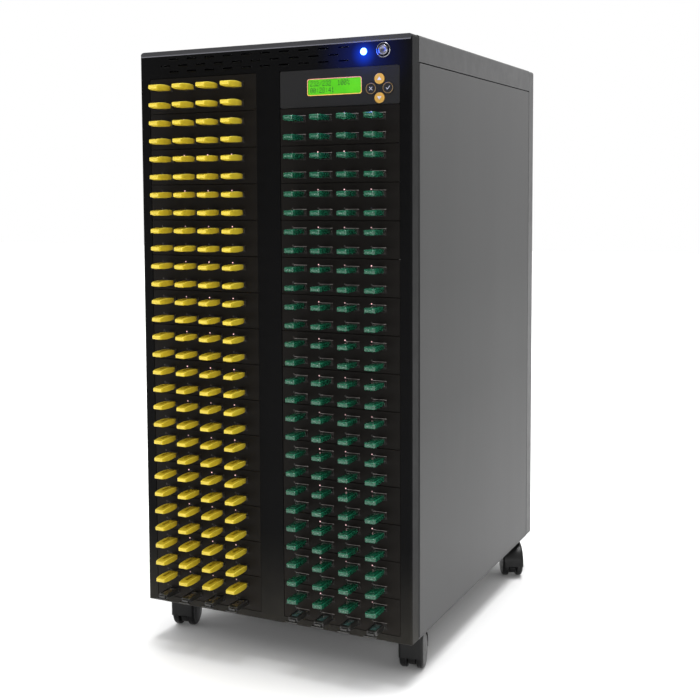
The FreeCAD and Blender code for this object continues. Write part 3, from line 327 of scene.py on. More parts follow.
M["print_dim"] = surface("key_print_grey", (0.36, 0.36, 0.38), 0.5, var=0.05, var_scale=300.0, grain=4000.0)
M["gold_dim"] = surface("key_ring_dark_gold", (0.22, 0.125, 0.030), 0.36, var=0.12, var_scale=160.0, grain=2500.0, coat=0.3)
M["led_off"] = surface("status_lens_clear", (0.020, 0.018, 0.017), 0.38, var=0.1, var_scale=300.0, grain=2500.0)
M["core"] = surface("lcd_frame_black", (0.012, 0.012, 0.012), 0.45, grain=2000.0)


def yellow_material(name, lo, hi, shade, rough, coat):
    m, nt, bsdf = new_mat(name)
    c = coords(nt)
    xyz = split_xyz(nt, c)
    big = noise(nt, c, 55.0, 4.0, 0.6)
    fine = noise(nt, c, 2600.0, 3.0, 0.6)
    f = remap(nt, big, 0.3, 0.7, 0.0, 1.0)
    col = mix_rgb(nt, f, lo, hi)
    # painted shade: the colour darkens towards the shade colour where the body meets the port
    grad = remap(nt, xyz[1], (YF - DRIVE_GAP - 13.0) * MM, (YF - DRIVE_GAP) * MM, 0.0, 0.62)
    col = mix_rgb(nt, grad, col, shade)
    link(nt, col, bsdf.inputs["Base Color"])
    r = remap(nt, noise(nt, c, 300.0, 4.0), 0.25, 0.75, rough - 0.06, rough + 0.06)
    link(nt, r, bsdf.inputs["Roughness"])
    bsdf.inputs["Specular IOR Level"].default_value = 0.32
    bsdf.inputs["Coat Weight"].default_value = coat
    bsdf.inputs["Coat Roughness"].default_value = 0.22
    add_bump(nt, bsdf, fine, 0.3, 0.00002)
    return m


def green_material(name, near, far, alpha_mix, rough):
    m, nt, bsdf = new_mat(name)
    c = coords(nt)
    xyz = split_xyz(nt, c)
    big = noise(nt, c, 260.0, 4.0, 0.6, 0.6)
    fine = noise(nt, c, 2400.0, 3.0, 0.6)
    # painted shade: the colour runs from near at the outer end to the darker far at the port
    grad = remap(nt, xyz[1], (YF - DRIVE_GAP - 27.0) * MM, (YF - DRIVE_GAP - 3.0) * MM, 0.0, 1.0)
    col = mix_rgb(nt, grad, near, far)
    f = remap(nt, big, 0.35, 0.7, 0.0, 0.35)
    col = mix_rgb(nt, f, col, tuple(min(1.0, x * 1.7 + 0.004) for x in near))
    link(nt, col, bsdf.inputs["Base Color"])
    r = remap(nt, noise(nt, c, 400.0, 4.0), 0.25, 0.75, rough - 0.04, rough + 0.06)
    link(nt, r, bsdf.inputs["Roughness"])
    bsdf.inputs["Transmission Weight"].default_value = alpha_mix
    bsdf.inputs["IOR"].default_value = 1.49
    bsdf.inputs["Coat Weight"].default_value = 0.35
    bsdf.inputs["Coat Roughness"].default_value = 0.14
    add_bump(nt, bsdf, fine, 0.25, 0.00002)
    return m


M["yellow"] = yellow_material("drive_yellow_plastic", (0.540, 0.410, 0.0250), (0.68, 0.520, 0.0320), (0.32, 0.205, 0.012), 0.36, 0.14)
# painted highlight: a lighter copy of the yellow for the upper rounded edges
M["yellow_edge"] = yellow_material("drive_yellow_edge_painted_highlight", (0.80, 0.660, 0.070), (0.95, 0.820, 0.130), (0.50, 0.350, 0.020), 0.28, 0.25)
# painted light: a lighter copy of the yellow for the outer end face
M["yellow_end"] = yellow_material("drive_yellow_end_painted_light", (0.59, 0.452, 0.040), (0.72, 0.560, 0.058), (0.40, 0.270, 0.016), 0.36, 0.12)
# painted shade: a darker copy of the yellow for the walls and floor of the sunk strip
M["yellow_groove"] = yellow_material("drive_yellow_groove_painted_shade", (0.32, 0.232, 0.009), (0.39, 0.285, 0.011), (0.20, 0.125, 0.006), 0.46, 0.0)
M["green"] = green_material("drive_green_clear", (0.0022, 0.060, 0.0295), (0.0022, 0.050, 0.0250), 0.06, 0.24)
# painted highlight: a lighter copy of the green for the upper rounded edges
M["green_edge"] = green_material("drive_green_edge_painted_highlight", (0.012, 0.140, 0.073), (0.0040, 0.066, 0.034), 0.06, 0.22)
# painted highlight: a lighter copy of the green for the raised ridges
M["green_ridge"] = green_material("drive_green_ridge_painted_highlight", (0.0046, 0.098, 0.049), (0.0030, 0.068, 0.034), 0.05, 0.20)


def speckle_material():
    """Worn pale print: broken patches of light over the green."""
    m, nt, bsdf = new_mat("drive_pale_band")
    c = coords(nt)
    n1 = noise(nt, c, 900.0, 3.0, 0.6, 0.3, stretch=(0.8, 1.0, 1.3))
    f = remap(nt, n1, 0.54, 0.65, 0.0, 0.75)
    col = mix_rgb(nt, f, (0.006, 0.080, 0.042), (0.31, 0.42, 0.36))
    link(nt, col, bsdf.inputs["Base Color"])
    link(nt, remap(nt, noise(nt, c, 700.0), 0.3, 0.7, 0.3, 0.5), bsdf.inputs["Roughness"])
    add_bump(nt, bsdf, noise(nt, c, 2600.0, 3.0), 0.3, 0.00002)
    return m


M["pale"] = speckle_material()
M["green_board"] = surface("drive_inner_board", (0.004, 0.03, 0.015), 0.4, var=0.3, var_scale=500.0, grain=2500.0)
M["black_drive"] = surface("drive_black_plastic", (0.014, 0.0135, 0.0125), 0.30, var=0.15, var_scale=150.0, rough_var=0.06, grain=2200.0, coat=0.2)


def window_material(name, a, b):
    m, nt, bsdf = new_mat(name)
    c = coords(nt)
    f = remap(nt, noise(nt, c, 220.0, 4.0, 0.6, 1.0), 0.3, 0.7, 0.0, 1.0)
    link(nt, mix_rgb(nt, f, a, b), bsdf.inputs["Base Color"])
    link(nt, remap(nt, noise(nt, c, 500.0), 0.3, 0.7, 0.10, 0.2), bsdf.inputs["Roughness"])
    bsdf.inputs["Coat Weight"].default_value = 0.8
    bsdf.inputs["Coat Roughness"].default_value = 0.05
    return m


M["window_brown"] = window_material("drive_window_smoke_brown", (0.050, 0.038, 0.024), (0.120, 0.092, 0.060))
M["window_teal"] = window_material("drive_window_smoke_teal", (0.030, 0.070, 0.068), (0.090, 0.160, 0.150))
# painted highlight: a lighter grey for the upper edges of the black drives
M["black_edge"] = surface("drive_black_edge_painted_highlight", (0.060, 0.055, 0.050), 0.26, var=0.2, var_scale=200.0, rough_var=0.05, grain=2200.0, coat=0.4)


def lcd_material():
    """Backlit display: its green drifts a little at random, with the faint grid of its two rows of character cells."""
    m, nt, bsdf = new_mat("lcd_backlit_green")
    c = coords(nt)
    xyz = split_xyz(nt, c)
    cx, cz = (COL_X - 5.1) * MM, (bay_z(BAYS - 1) + 22.3) * MM

    def wave(sock, origin, pitch, lo, hi):
        a = nt.nodes.new("ShaderNodeMath")
        a.operation = "SUBTRACT"
        link(nt, sock, a.inputs[0])
        a.inputs[1].default_value = origin
        d = nt.nodes.new("ShaderNodeMath")
        d.operation = "DIVIDE"
        link(nt, a.outputs[0], d.inputs[0])
        d.inputs[1].default_value = pitch
        fr = nt.nodes.new("ShaderNodeMath")
        fr.operation = "FRACT"
        link(nt, d.outputs[0], fr.inputs[0])
        g1 = nt.nodes.new("ShaderNodeMath")
        g1.operation = "GREATER_THAN"
        link(nt, fr.outputs[0], g1.inputs[0])
        g1.inputs[1].default_value = lo
        g2 = nt.nodes.new("ShaderNodeMath")
        g2.operation = "LESS_THAN"
        link(nt, fr.outputs[0], g2.inputs[0])
        g2.inputs[1].default_value = hi
        mu = nt.nodes.new("ShaderNodeMath")
        mu.operation = "MULTIPLY"
        link(nt, g1.outputs[0], mu.inputs[0])
        link(nt, g2.outputs[0], mu.inputs[1])
        return mu.outputs[0]
    gx = wave(xyz[0], cx - 30.0 * MM, 3.75 * MM, 0.06, 0.86)
    gz = wave(xyz[2], cz - 7.6 * MM, 7.6 * MM, 0.12, 0.88)
    cell = nt.nodes.new("ShaderNodeMath")
    cell.operation = "MULTIPLY"
    link(nt, gx, cell.inputs[0])
    link(nt, gz, cell.inputs[1])
    drift = remap(nt, noise(nt, c, 30.0, 3.0), 0.3, 0.7, 0.0, 1.0)
    col = mix_rgb(nt, drift, (0.048, 0.305, 0.006), (0.074, 0.385, 0.008))
    f = remap(nt, cell.outputs[0], 0.0, 1.0, 0.0, 0.13)
    col = mix_rgb(nt, f, col, (0.03, 0.38, 0.008))
    link(nt, col, bsdf.inputs["Base Color"])
    link(nt, col, bsdf.inputs["Emission Color"])
    bsdf.inputs["Emission Strength"].default_value = 0.55
    bsdf.inputs["Roughness"].default_value = 0.35
    bsdf.inputs["Specular IOR Level"].default_value = 0.25
    return m


M["lcd"] = lcd_material()
M["lcd_dot"] = surface("lcd_dark_dots", (0.004, 0.035, 0.002), 0.5, var=0.3, var_scale=900.0, grain=3000.0, grain_depth=0.0)


def border_material():
    m, nt, bsdf = new_mat("lcd_border_print")
    c = coords(nt)
    xyz = split_xyz(nt, c)
    cz = (bay_z(BAYS - 1) + 22.3) * MM
    f = remap(nt, xyz[2], cz - 8.0 * MM, cz + 8.0 * MM, 0.0, 1.0)
    col = mix_rgb(nt, f, (0.80, 0.46, 0.06), (0.66, 0.24, 0.20))
    g = remap(nt, noise(nt, c, 700.0), 0.3, 0.7, 0.0, 0.3)
    col = mix_rgb(nt, g, col, (0.9, 0.62, 0.25))
    link(nt, col, bsdf.inputs["Base Color"])
    link(nt, remap(nt, noise(nt, c, 900.0), 0.3, 0.7, 0.35, 0.5), bsdf.inputs["Roughness"])
    return m


M["border"] = border_material()


def glow_material(name, centre, radius, inner, outer, strength):
    m, nt, bsdf = new_mat(name)
    c = coords(nt)
    d = nt.nodes.new("ShaderNodeVectorMath")
    d.operation = "DISTANCE"
    link(nt, c, d.inputs[0])
    d.inputs[1].default_value = centre
    f = remap(nt, d.outputs["Value"], 0.0, radius, 0.0, 1.0)
    n = remap(nt, noise(nt, c, 600.0), 0.3, 0.7, -0.08, 0.08)
    a = nt.nodes.new("ShaderNodeMath")
    a.operation = "ADD"
    a.use_clamp = True
    link(nt, f, a.inputs[0])
    link(nt, n, a.inputs[1])
    col = mix_rgb(nt, a.outputs[0], inner, outer)
    link(nt, col, bsdf.inputs["Base Color"])
    link(nt, col, bsdf.inputs["Emission Color"])
    bsdf.inputs["Emission Strength"].default_value = strength
    bsdf.inputs["Roughness"].default_value = 0.15
    bsdf.inputs["Coat Weight"].default_value = 0.5
    return m


LIGHT = LAMP
M["blue"] = glow_material("power_light_blue", LIGHT, 0.0044, (0.55, 0.80, 1.0), (0.03, 0.14, 1.0), 9.0)


def led_material():
    """A dark clear lens with a small lit core; some are brighter than others."""
    m, nt, bsdf = new_mat("status_lens_lit")
    c = coords(nt)
    xyz = split_xyz(nt, c)

    def op(kind, a, b):
        n = nt.nodes.new("ShaderNodeMath")
        n.operation = kind
        for i, x in enumerate((a, b)):
            if x is None:
                continue
            if isinstance(x, (int, float)):
                n.inputs[i].default_value = x
            else:
                link(nt, x, n.inputs[i])
        return n.outputs[0]

    def local(sock, centre, pitch):
        t = op("DIVIDE", op("SUBTRACT", sock, centre * MM), pitch * MM)
        return op("MULTIPLY", op("SUBTRACT", op("FRACT", op("ADD", t, 100.5), None), 0.5), pitch)

    dz = local(xyz[2], bay_z(0) + 0.15 + PORT_ROWS[1] + 4.6, BAY_H)
    on_right = op("GREATER_THAN", xyz[0], 0.0)
    dxr = local(xyz[0], COL_X - 1.5 * PORT_PITCH - 9.4, PORT_PITCH)
    dxl = local(xyz[0], -COL_X - 1.5 * PORT_PITCH - 9.4, PORT_PITCH)
    dx = op("ADD", op("MULTIPLY", dxr, on_right), op("MULTIPLY", dxl, op("SUBTRACT", 1.0, on_right)))
    first_r = op("MULTIPLY", on_right, op("LESS_THAN", xyz[0], (COL_X - PORT_PITCH - 9.4) * MM))
    first_l = op("LESS_THAN", xyz[0], (-COL_X - PORT_PITCH - 9.4) * MM)
    used = op("SUBTRACT", op("SUBTRACT", 1.0, first_r), first_l)
    r2 = op("ADD", op("MULTIPLY", dx, dx), op("MULTIPLY", dz, dz))
    core = remap(nt, r2, 0.22, 0.75, 1.0, 0.0)
    some = remap(nt, noise(nt, c, 14.0, 2.0), 0.36, 0.56, 0.30, 1.0)
    f = op("MULTIPLY", op("MULTIPLY", core, some), used)
    link(nt, mix_rgb(nt, f, (0.030, 0.022, 0.020), (0.85, 0.48, 0.50)), bsdf.inputs["Base Color"])
    link(nt, mix_rgb(nt, f, (0.0, 0.0, 0.0), (0.95, 0.58, 0.60)), bsdf.inputs["Emission Color"])
    bsdf.inputs["Emission Strength"].default_value = 1.15
    link(nt, remap(nt, noise(nt, c, 900.0), 0.3, 0.7, 0.2, 0.3), bsdf.inputs["Roughness"])
    return m


M["led_on"] = led_material()


def side_material():
    """The same powder coat with the faint long streaks a wiped side panel shows; its colour is painted lighter towards
    the top and the bottom, a painted reflection.
    """
    m, nt, bsdf = new_mat("satin_black_side_sheet")
    c = coords(nt)
    big = noise(nt, c, 5.0, 5.0, 0.6)
    streak = noise(nt, c, 16.0, 5.0, 0.6, 0.3, stretch=(1.0, 1.0, 0.12))
    fine = noise(nt, c, 1500.0, 3.0, 0.6)
    col = mix_rgb(nt, remap(nt, big, 0.3, 0.7, 0.0, 1.0), (0.0052, 0.0052, 0.0054), (0.0078, 0.0078, 0.0080))
    col = mix_rgb(nt, remap(nt, fine, 0.35, 0.65, 0.0, 0.5), col, (0.0120, 0.0120, 0.0122))
    xyz = split_xyz(nt, c)
    # painted reflection: the colour is painted lighter towards the bottom and the top of the panel
    low = remap(nt, xyz[2], (ZC + 10.0) * MM, (ZC + 260.0) * MM, 1.0, 0.0)
    high = remap(nt, xyz[2], (ZC + 400.0) * MM, (ZC + 640.0) * MM, 0.0, 1.0)
    painted_sheen = nt.nodes.new("ShaderNodeMath")
    painted_sheen.operation = "ADD"
    painted_sheen.use_clamp = True
    link(nt, low, painted_sheen.inputs[0])
    link(nt, high, painted_sheen.inputs[1])
    col = mix_rgb(nt, painted_sheen.outputs[0], col, (0.0395, 0.0395, 0.0400))
    link(nt, col, bsdf.inputs["Base Color"])
    link(nt, remap(nt, streak, 0.3, 0.7, 0.422, 0.440), bsdf.inputs["Roughness"])
    bsdf.inputs["Specular IOR Level"].default_value = 0.265
    add_bump(nt, bsdf, fine, 0.28, 0.00003)
    return m


M["side"] = side_material()


def floor_material():
    m, nt, bsdf = new_mat("studio_floor")
    c = coords(nt)
    f = remap(nt, noise(nt, c, 1.5, 3.0), 0.3, 0.7, 0.0, 1.0)
    link(nt, mix_rgb(nt, f, (0.80, 0.80, 0.80), (0.82, 0.82, 0.82)), bsdf.inputs["Base Color"])
    bsdf.inputs["Roughness"].default_value = 0.85
    bsdf.inputs["Specular IOR Level"].default_value = 0.1
    return m


# ------------------------------------------------------------------ materials of the CAD nodes
PLAIN = {
    "front_frame": "front", "top_cover": "cabinet", "left_side_panel": "side", "right_side_panel": "side", "rear_panel": "cabinet",
    "base_pan": "cabinet", "bay_walls": "steel", "module_trays": "steel", "hub_boards": "board", "control_board": "board",
    "left_port_bezels": "bezel", "right_port_bezels": "bezel", "usb_socket_shells": "socket", "usb_socket_tongues": "tongue",
    "port_status_lights": "led_off", "control_panel_plate": "plate", "lcd_module": "core", "up_key": "gold", "down_key": "gold",
    "back_key": "keyblack", "enter_key": "keyblack", "power_light_lens": "blue", "power_button_ring": "chrome", "power_button_cap": "chrome_cap",
    "power_switch_body": "fan", "drive_plugs": "plug", "yellow_drive_single_plug": "plug", "green_drive_single_plug": "plug",
    "black_drive_single_plug": "plug", "power_supply_case": "steel", "fan_frames": "fan", "exhaust_fan_rotor_left": "fan",
    "exhaust_fan_rotor_right": "fan", "power_supply_fan_rotor": "fan", "fan_guards": "guard", "mains_inlet": "inlet", "mains_inlet_pins": "pins",
    "power_rocker_switch": "rocker", "panel_screws": "screw", "thumb_screws": "thumb", "wiring_harness": "wire", "caster_stems": "stem",
}
for n, o in NODE.items():
    key = PLAIN.get(n)
    if key is None and n.startswith("caster_"):
        key = "nylon" if n.endswith("hood") else "wheel"
    if key is None:
        continue
    o.data.materials.clear()
    o.data.materials.append(M[key])


def paint_faces(obj, material, pick):
    """Gives the faces that pick(centre, normal) chooses, with centres in millimetres, a second material."""
    me = obj.data
    me.materials.append(material)
    idx = len(me.materials) - 1
    for p in me.polygons:
        if pick(p.center / MM, p.normal):
            p.material_index = idx


for n, key in (("left_port_bezels", "rim_left"), ("right_port_bezels", "rim_right")):
    paint_faces(NODE[n], M[key], lambda c, nn: nn.y < -0.9 and abs(c.y - (YF - 0.2)) < 0.03)
# the sloping band and the small bevels along the front frame's edges, the faces that look upward, get the lighter bevel
# material: a painted highlight
paint_faces(NODE["front_frame"], M["bevel"], lambda c, nn: nn.y < -0.2 and nn.z > 0.15)
paint_faces(NODE["lcd_module"], M["lcd"], lambda c, nn: nn.y < -0.9 and abs(c.y - (YF + 0.6)) < 0.03)


def upper_row(c, nn):
    z = (c.z - ZC - BAY_BOTTOM) % BAY_H
    return z > 22.0


paint_faces(NODE["port_status_lights"], M["led_on"], upper_row)


# ------------------------------------------------------------------ mesh tools
def mesh_object(name, me, body, mats=()):
    o = bpy.data.objects.new(name, me)
    bpy.context.scene.collection.objects.link(o)
    for m in mats:
        me.materials.append(m)
    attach(o, body)
    return o


def bm_to_mesh(bm, name, smooth_angle=35.0):
    bmesh.ops.recalc_face_normals(bm, faces=bm.faces)
    me = bpy.data.meshes.new(name)
    bm.to_mesh(me)
    bm.free()
    for p in me.polygons:
        p.use_smooth = True
    me.set_sharp_from_angle(angle=math.radians(smooth_angle))
    return me


def prism_bm(outline, z0, z1):
    bm = bmesh.new()
    lo = [bm.verts.new((x, y, z0)) for x, y in outline]
    hi = [bm.verts.new((x, y, z1)) for x, y in outline]
    n = len(outline)
    bm.faces.new(list(reversed(lo)))
    bm.faces.new(hi)
    for i in range(n):
        bm.faces.new((lo[i], lo[(i + 1) % n], hi[(i + 1) % n], hi[i]))
    bmesh.ops.recalc_face_normals(bm, faces=bm.faces)
    return bm


def bevel_bm(bm, width, segments=3, edges=None, profile=0.5):
    bmesh.ops.bevel(bm, geom=list(bm.edges) if edges is None else edges, offset=width, offset_type="OFFSET", segments=segments, profile=profile,
                    affect="EDGES", clamp_overlap=True)
    return bm


def evaluated_mesh(obj):
    dg = bpy.context.evaluated_depsgraph_get()
    return bpy.data.meshes.new_from_object(obj.evaluated_get(dg))


def boolean(base_bm, cutters):
    """Base with the cutters taken away, as a new bmesh."""
    me = bpy.data.meshes.new("tmp_base")
    base_bm.to_mesh(me)
    base_bm.free()
    o = bpy.data.objects.new("tmp_base", me)
    bpy.context.scene.collection.objects.link(o)
    extra = []
    for i, cb in enumerate(cutters):
        cm = bpy.data.meshes.new("tmp_cut%d" % i)
        cb.to_mesh(cm)
        cb.free()
        co = bpy.data.objects.new("tmp_cut%d" % i, cm)
        bpy.context.scene.collection.objects.link(co)
        mod = o.modifiers.new("b%d" % i, "BOOLEAN")
        mod.operation = "DIFFERENCE"
        mod.solver = "EXACT"
        mod.object = co
        extra.append(co)
    bpy.context.view_layer.update()
    res = evaluated_mesh(o)
    for e in extra + [o]:
        bpy.data.objects.remove(e)
    bm = bmesh.new()
    bm.from_mesh(res)
    bpy.data.meshes.remove(res)
    return bm


def frustum_bm(cx, cy, z_top, z_bot, top, bot, r=0.0):
    """Tapered rectangular block, for sinking a panel with sloping walls."""
    bm = bmesh.new()
    vs = []
    for (w, l), z in ((bot, z_bot), (top, z_top)):
        vs.append([bm.verts.new((cx + sx * w / 2, cy + sy * l / 2, z)) for sx, sy in ((-1, -1), (1, -1), (1, 1), (-1, 1))])
    bm.faces.new(list(reversed(vs[0])))
    bm.faces.new(vs[1])
    for i in range(4):
        bm.faces.new((vs[0][i], vs[0][(i + 1) % 4], vs[1][(i + 1) % 4], vs[1][i]))
    bmesh.ops.recalc_face_normals(bm, faces=bm.faces)
    return bm


def rounded_outline(w, l0, l1, r, n=4):
    """Rectangle from y=l0 to y=l1, w wide, with round corners."""
    pts = []
    for cx, cy, a0 in ((w / 2 - r, l0 + r, -90), (w / 2 - r, l1 - r, 0), (-w / 2 + r, l1 - r, 90), (-w / 2 + r, l0 + r, 180)):
        for i in range(n + 1):
            a = math.radians(a0 + 90.0 * i / n)
            pts.append((cx + r * math.cos(a), cy + r * math.sin(a)))
    return pts


class Pieces:
    """Collects meshes in millimetres, each with one material index, into one mesh."""

    def __init__(self):
        self.v, self.f, self.m, self.n = [], [], [], 0

    def add_bm(self, bm, mat_index, offset=(0, 0, 0)):
        bmesh.ops.recalc_face_normals(bm, faces=bm.faces)
        bm.verts.ensure_lookup_table()
        base = self.n
        for i, v in enumerate(bm.verts):
            v.index = i
            self.v.append((v.co.x + offset[0], v.co.y + offset[1], v.co.z + offset[2]))
        for f in bm.faces:
            self.f.append([base + v.index for v in f.verts])
            self.m.append(f.material_index if mat_index is None else mat_index)
        self.n += len(bm.verts)
        bm.free()

    def arrays(self):
        co = np.array(self.v, dtype=np.float64)
        tot = np.array([len(f) for f in self.f], dtype=np.int32)
        idx = np.array([i for f in self.f for i in f], dtype=np.int32)
        return co, tot, idx, np.array(self.m, dtype=np.int32)


def stamp(name, pieces, places, smooth_angle=35.0):
    """One mesh with a copy of pieces at each place; places are (x, y, z) in millimetres."""
    co, tot, idx, mi = pieces.arrays()
    k, nv, nl, nf = len(places), len(co), len(idx), len(tot)
    allco = (co[None, :, :] + np.array(places, dtype=np.float64)[:, None, :]).reshape(-1, 3) * MM
    allidx = (idx[None, :] + (np.arange(k) * nv)[:, None]).reshape(-1)
    starts = np.concatenate([[0], np.cumsum(tot)[:-1]])
    allst = (starts[None, :] + (np.arange(k) * nl)[:, None]).reshape(-1)
    me = bpy.data.meshes.new(name)
    me.vertices.add(k * nv)
    me.vertices.foreach_set("co", allco.astype(np.float32).ravel())
    me.loops.add(k * nl)
    me.loops.foreach_set("vertex_index", allidx.astype(np.int32))
    me.polygons.add(k * nf)
    me.polygons.foreach_set("loop_start", allst.astype(np.int32))
    me.polygons.foreach_set("material_index", np.tile(mi, k).astype(np.int32))
    me.polygons.foreach_set("use_smooth", np.ones(k * nf, dtype=bool))
    me.update(calc_edges=True)
    me.validate()
    me.set_sharp_from_angle(angle=math.radians(smooth_angle))
    return me


# ------------------------------------------------------------------ flash drives
def loft_bm(sections, corner=4):
    """Body through rounded-rectangle sections (y, half width, half thickness, corner radius), closed at both ends."""
    bm = bmesh.new()
    rings = []
    for y, hw, ht, r in sections:
        ring = []
        for cx, cz, a0 in ((hw - r, ht - r, 0.0), (-hw + r, ht - r, 90.0), (-hw + r, -ht + r, 180.0), (hw - r, -ht + r, 270.0)):
            for i in range(corner + 1):
                a = math.radians(a0 + 90.0 * i / corner)
                ring.append(bm.verts.new((cx + r * math.cos(a), y, cz + r * math.sin(a))))
        rings.append(ring)
    n = len(rings[0])
    for lo, hi in zip(rings[:-1], rings[1:]):
        for i in range(n):
            j = (i + 1) % n
            bm.faces.new((lo[i], lo[j], hi[j], hi[i]))
    bm.faces.new(rings[0])
    bm.faces.new(list(reversed(rings[-1])))
    bmesh.ops.recalc_face_normals(bm, faces=bm.faces)
    return bm


def by_place(bm, pick):
    """Material index of each face from its centre and normal."""
    bmesh.ops.recalc_face_normals(bm, faces=bm.faces)
    bm.normal_update()
    for f in bm.faces:
        f.material_index = pick(f.calc_center_median(), f.normal)
    return bm


YELLOW_L = 32.0
YELLOW_SECTIONS = [(0.0, 5.3, 2.3, 0.75), (-0.7, 5.8, 2.55, 0.8), (-2.4, 6.15, 2.8, 0.8), (-6.5, 6.3, 3.15, 0.8), (-11.0, 6.3, 3.4, 0.8), (-16.0, 6.3, 3.5, 0.8),
                   (-21.0, 6.3, 3.35, 0.8), (-26.0, 6.3, 2.95, 0.8), (-29.2, 6.1, 2.5, 0.8), (-31.2, 5.7, 2.12, 0.75), (-31.75, 5.4, 1.92, 0.7), (-32.0, 5.0, 1.7, 0.6)]


def yellow_drive():
    p = Pieces()
    bm = loft_bm(YELLOW_SECTIONS)
    # sunk label strip on the top with steep walls
    bm = boolean(bm, [frustum_bm(0.0, -16.0, 4.1, 2.35, (3.9, 15.6), (3.2, 14.8))])

    def pick(c, n):
        # painted shade: faces of the sunk strip get the darker groove copy
        if abs(c.x) < 2.1 and -24.4 < c.y < -7.6 and 2.3 < c.z < 3.45 and (n.z < 0.6 or c.z < 2.7):
            return 2
        if c.y > -0.3:
            return 0
        # painted light: the outer end face gets the lighter end copy
        if c.y < -31.0 and n.y < -0.45:
            return 3
        # painted highlight: the upper rounded edges get the lighter edge copy
        diag = min(abs(n.z), math.hypot(n.x, n.y))
        return 1 if diag > 0.36 and c.z > -1.2 and abs(n.x) < 0.9 else 0
    p.add_bm(by_place(bm, pick), None)
    # a shallow thumb step across the outer end of the underside
    p.add_bm(bevel_bm(prism_bm([(-4.0, -27.2), (4.0, -27.2), (4.0, -25.8), (-4.0, -25.8)], -3.2, -2.8), 0.12, 2), 0)
    return p


GREEN_SECTIONS = [(0.0, 5.3, 2.2, 0.9), (-0.8, 6.0, 2.55, 1.0), (-2.6, 6.35, 2.75, 1.0), (-8.0, 6.5, 2.85, 1.0), (-20.0, 6.5, 2.9, 1.0), (-26.0, 6.45, 2.85, 1.0),
                  (-28.3, 6.2, 2.7, 1.05), (-29.4, 5.7, 2.4, 1.05), (-30.0, 4.9, 1.9, 1.0)]


def green_drive():
    p = Pieces()

    def pick(c, n):
        if c.y > -0.4:
            return 0
        diag = min(abs(n.z), math.hypot(n.x, n.y))
        # painted highlight: the upper rounded edges get the lighter edge copy
        return 1 if diag > 0.33 and c.z > -1.0 else 0
    p.add_bm(by_place(loft_bm(GREEN_SECTIONS), pick), None)
    # raised ridge along the top and the underside, painted lighter as a highlight, with painted edge highlights on its
    # bevels
    for z0, z1 in ((2.4, 3.2), (-3.2, -2.4)):
        ridge = bevel_bm(prism_bm(rounded_outline(6.4, -23.4, -5.6, 1.5), z0, z1), 0.34, 3)
        p.add_bm(by_place(ridge, lambda c, n: 1 if (0.25 < abs(n.z) < 0.93) else 3), None)
    # seam across the body behind the outer end, in the painted edge highlight colour
    seam = []
    for y in (-25.3,):
        bm = loft_bm([(y, 6.56, 2.95, 1.0), (y - 0.28, 6.56, 2.95, 1.0)])
        seam.append(bm)
    for bm in seam:
        p.add_bm(bm, 1)
    # worn pale band on the outer end's face
    bm = prism_bm(rounded_outline(8.2, -1.0, 0.9, 0.5), 0.0, 0.1)
    bmesh.ops.rotate(bm, verts=bm.verts, cent=(0, 0, 0), matrix=Matrix.Rotation(math.radians(90), 3, "X"))
    p.add_bm(bm, 2, (0.0, -29.93, 0.0))
    p.add_bm(bevel_bm(prism_bm(rounded_outline(8.8, -28.0, -26.3, 0.4), 2.6, 2.95), 0.05, 2), 2)
    return p


def black_drive(window):
    p = Pieces()

    def edge(c, n):
        diag = min(abs(n.z), math.hypot(n.x, n.y))
        # painted highlight: upward-facing rounded edges get the lighter edge material
        return 2 if diag > 0.38 and n.z > 0.0 else 0
    body = loft_bm([(0.0, 5.2, 2.7, 0.8), (-0.8, 5.8, 3.0, 0.8), (-3.0, 6.1, 3.1, 0.8), (-20.0, 6.1, 3.1, 0.8), (-24.5, 5.9, 2.7, 0.8), (-26.4, 5.2, 2.0, 0.8)], 3)
    body = boolean(body, [frustum_bm(0.0, -13.4, 4.0, 2.4, (8.6, 18.6), (7.6, 17.6))])
    p.add_bm(by_place(body, edge), None)
    p.add_bm(bevel_bm(prism_bm(rounded_outline(7.3, -22.0, -4.8, 0.7), 2.2, 2.75), 0.15, 2), 1)
    # flat lip across the outer end, with a rib joining it to the body
    lip = bevel_bm(prism_bm(rounded_outline(14.8, -30.0, -26.6, 0.8), -3.5, -2.15), 0.3, 3)
    # painted highlight: the top of the lip's front edge gets the lighter edge material
    p.add_bm(by_place(lip, lambda c, n: 2 if n.z > 0.3 and c.y < -29.3 else 0), None)
    p.add_bm(bevel_bm(prism_bm(rounded_outline(8.2, -28.4, -24.4, 0.6), -3.3, 0.7), 0.5, 3), 0)
    return p


SINGLE = {"yellow": ("L", BAYS - 1, 1, 3), "green": ("R", 7, 1, 3), "black": ("R", 0, 0, 3)}
places = {"yellow": [], "green": [], "black_left": [], "black_right": []}
single_place = {}
for col, cx, count in (("L", -COL_X, BAYS), ("R", COL_X, BAYS - 1)):
    for k in range(count):
        for j, row in enumerate(PORT_ROWS):
            for i in range(4):
                at = (cx + (i - 1.5) * PORT_PITCH, YF - DRIVE_GAP, bay_z(k) + 0.15 + row)
                kind = "black" if (k == 0 and j == 0) else ("yellow" if col == "L" else "green")
                hit = [c for c, key in SINGLE.items() if key == (col, k, j, i)]
                if hit:
                    single_place[hit[0]] = at
                elif kind == "black":
                    places["black_left" if col == "L" else "black_right"].append(at)
                else:
                    places[kind].append(at)

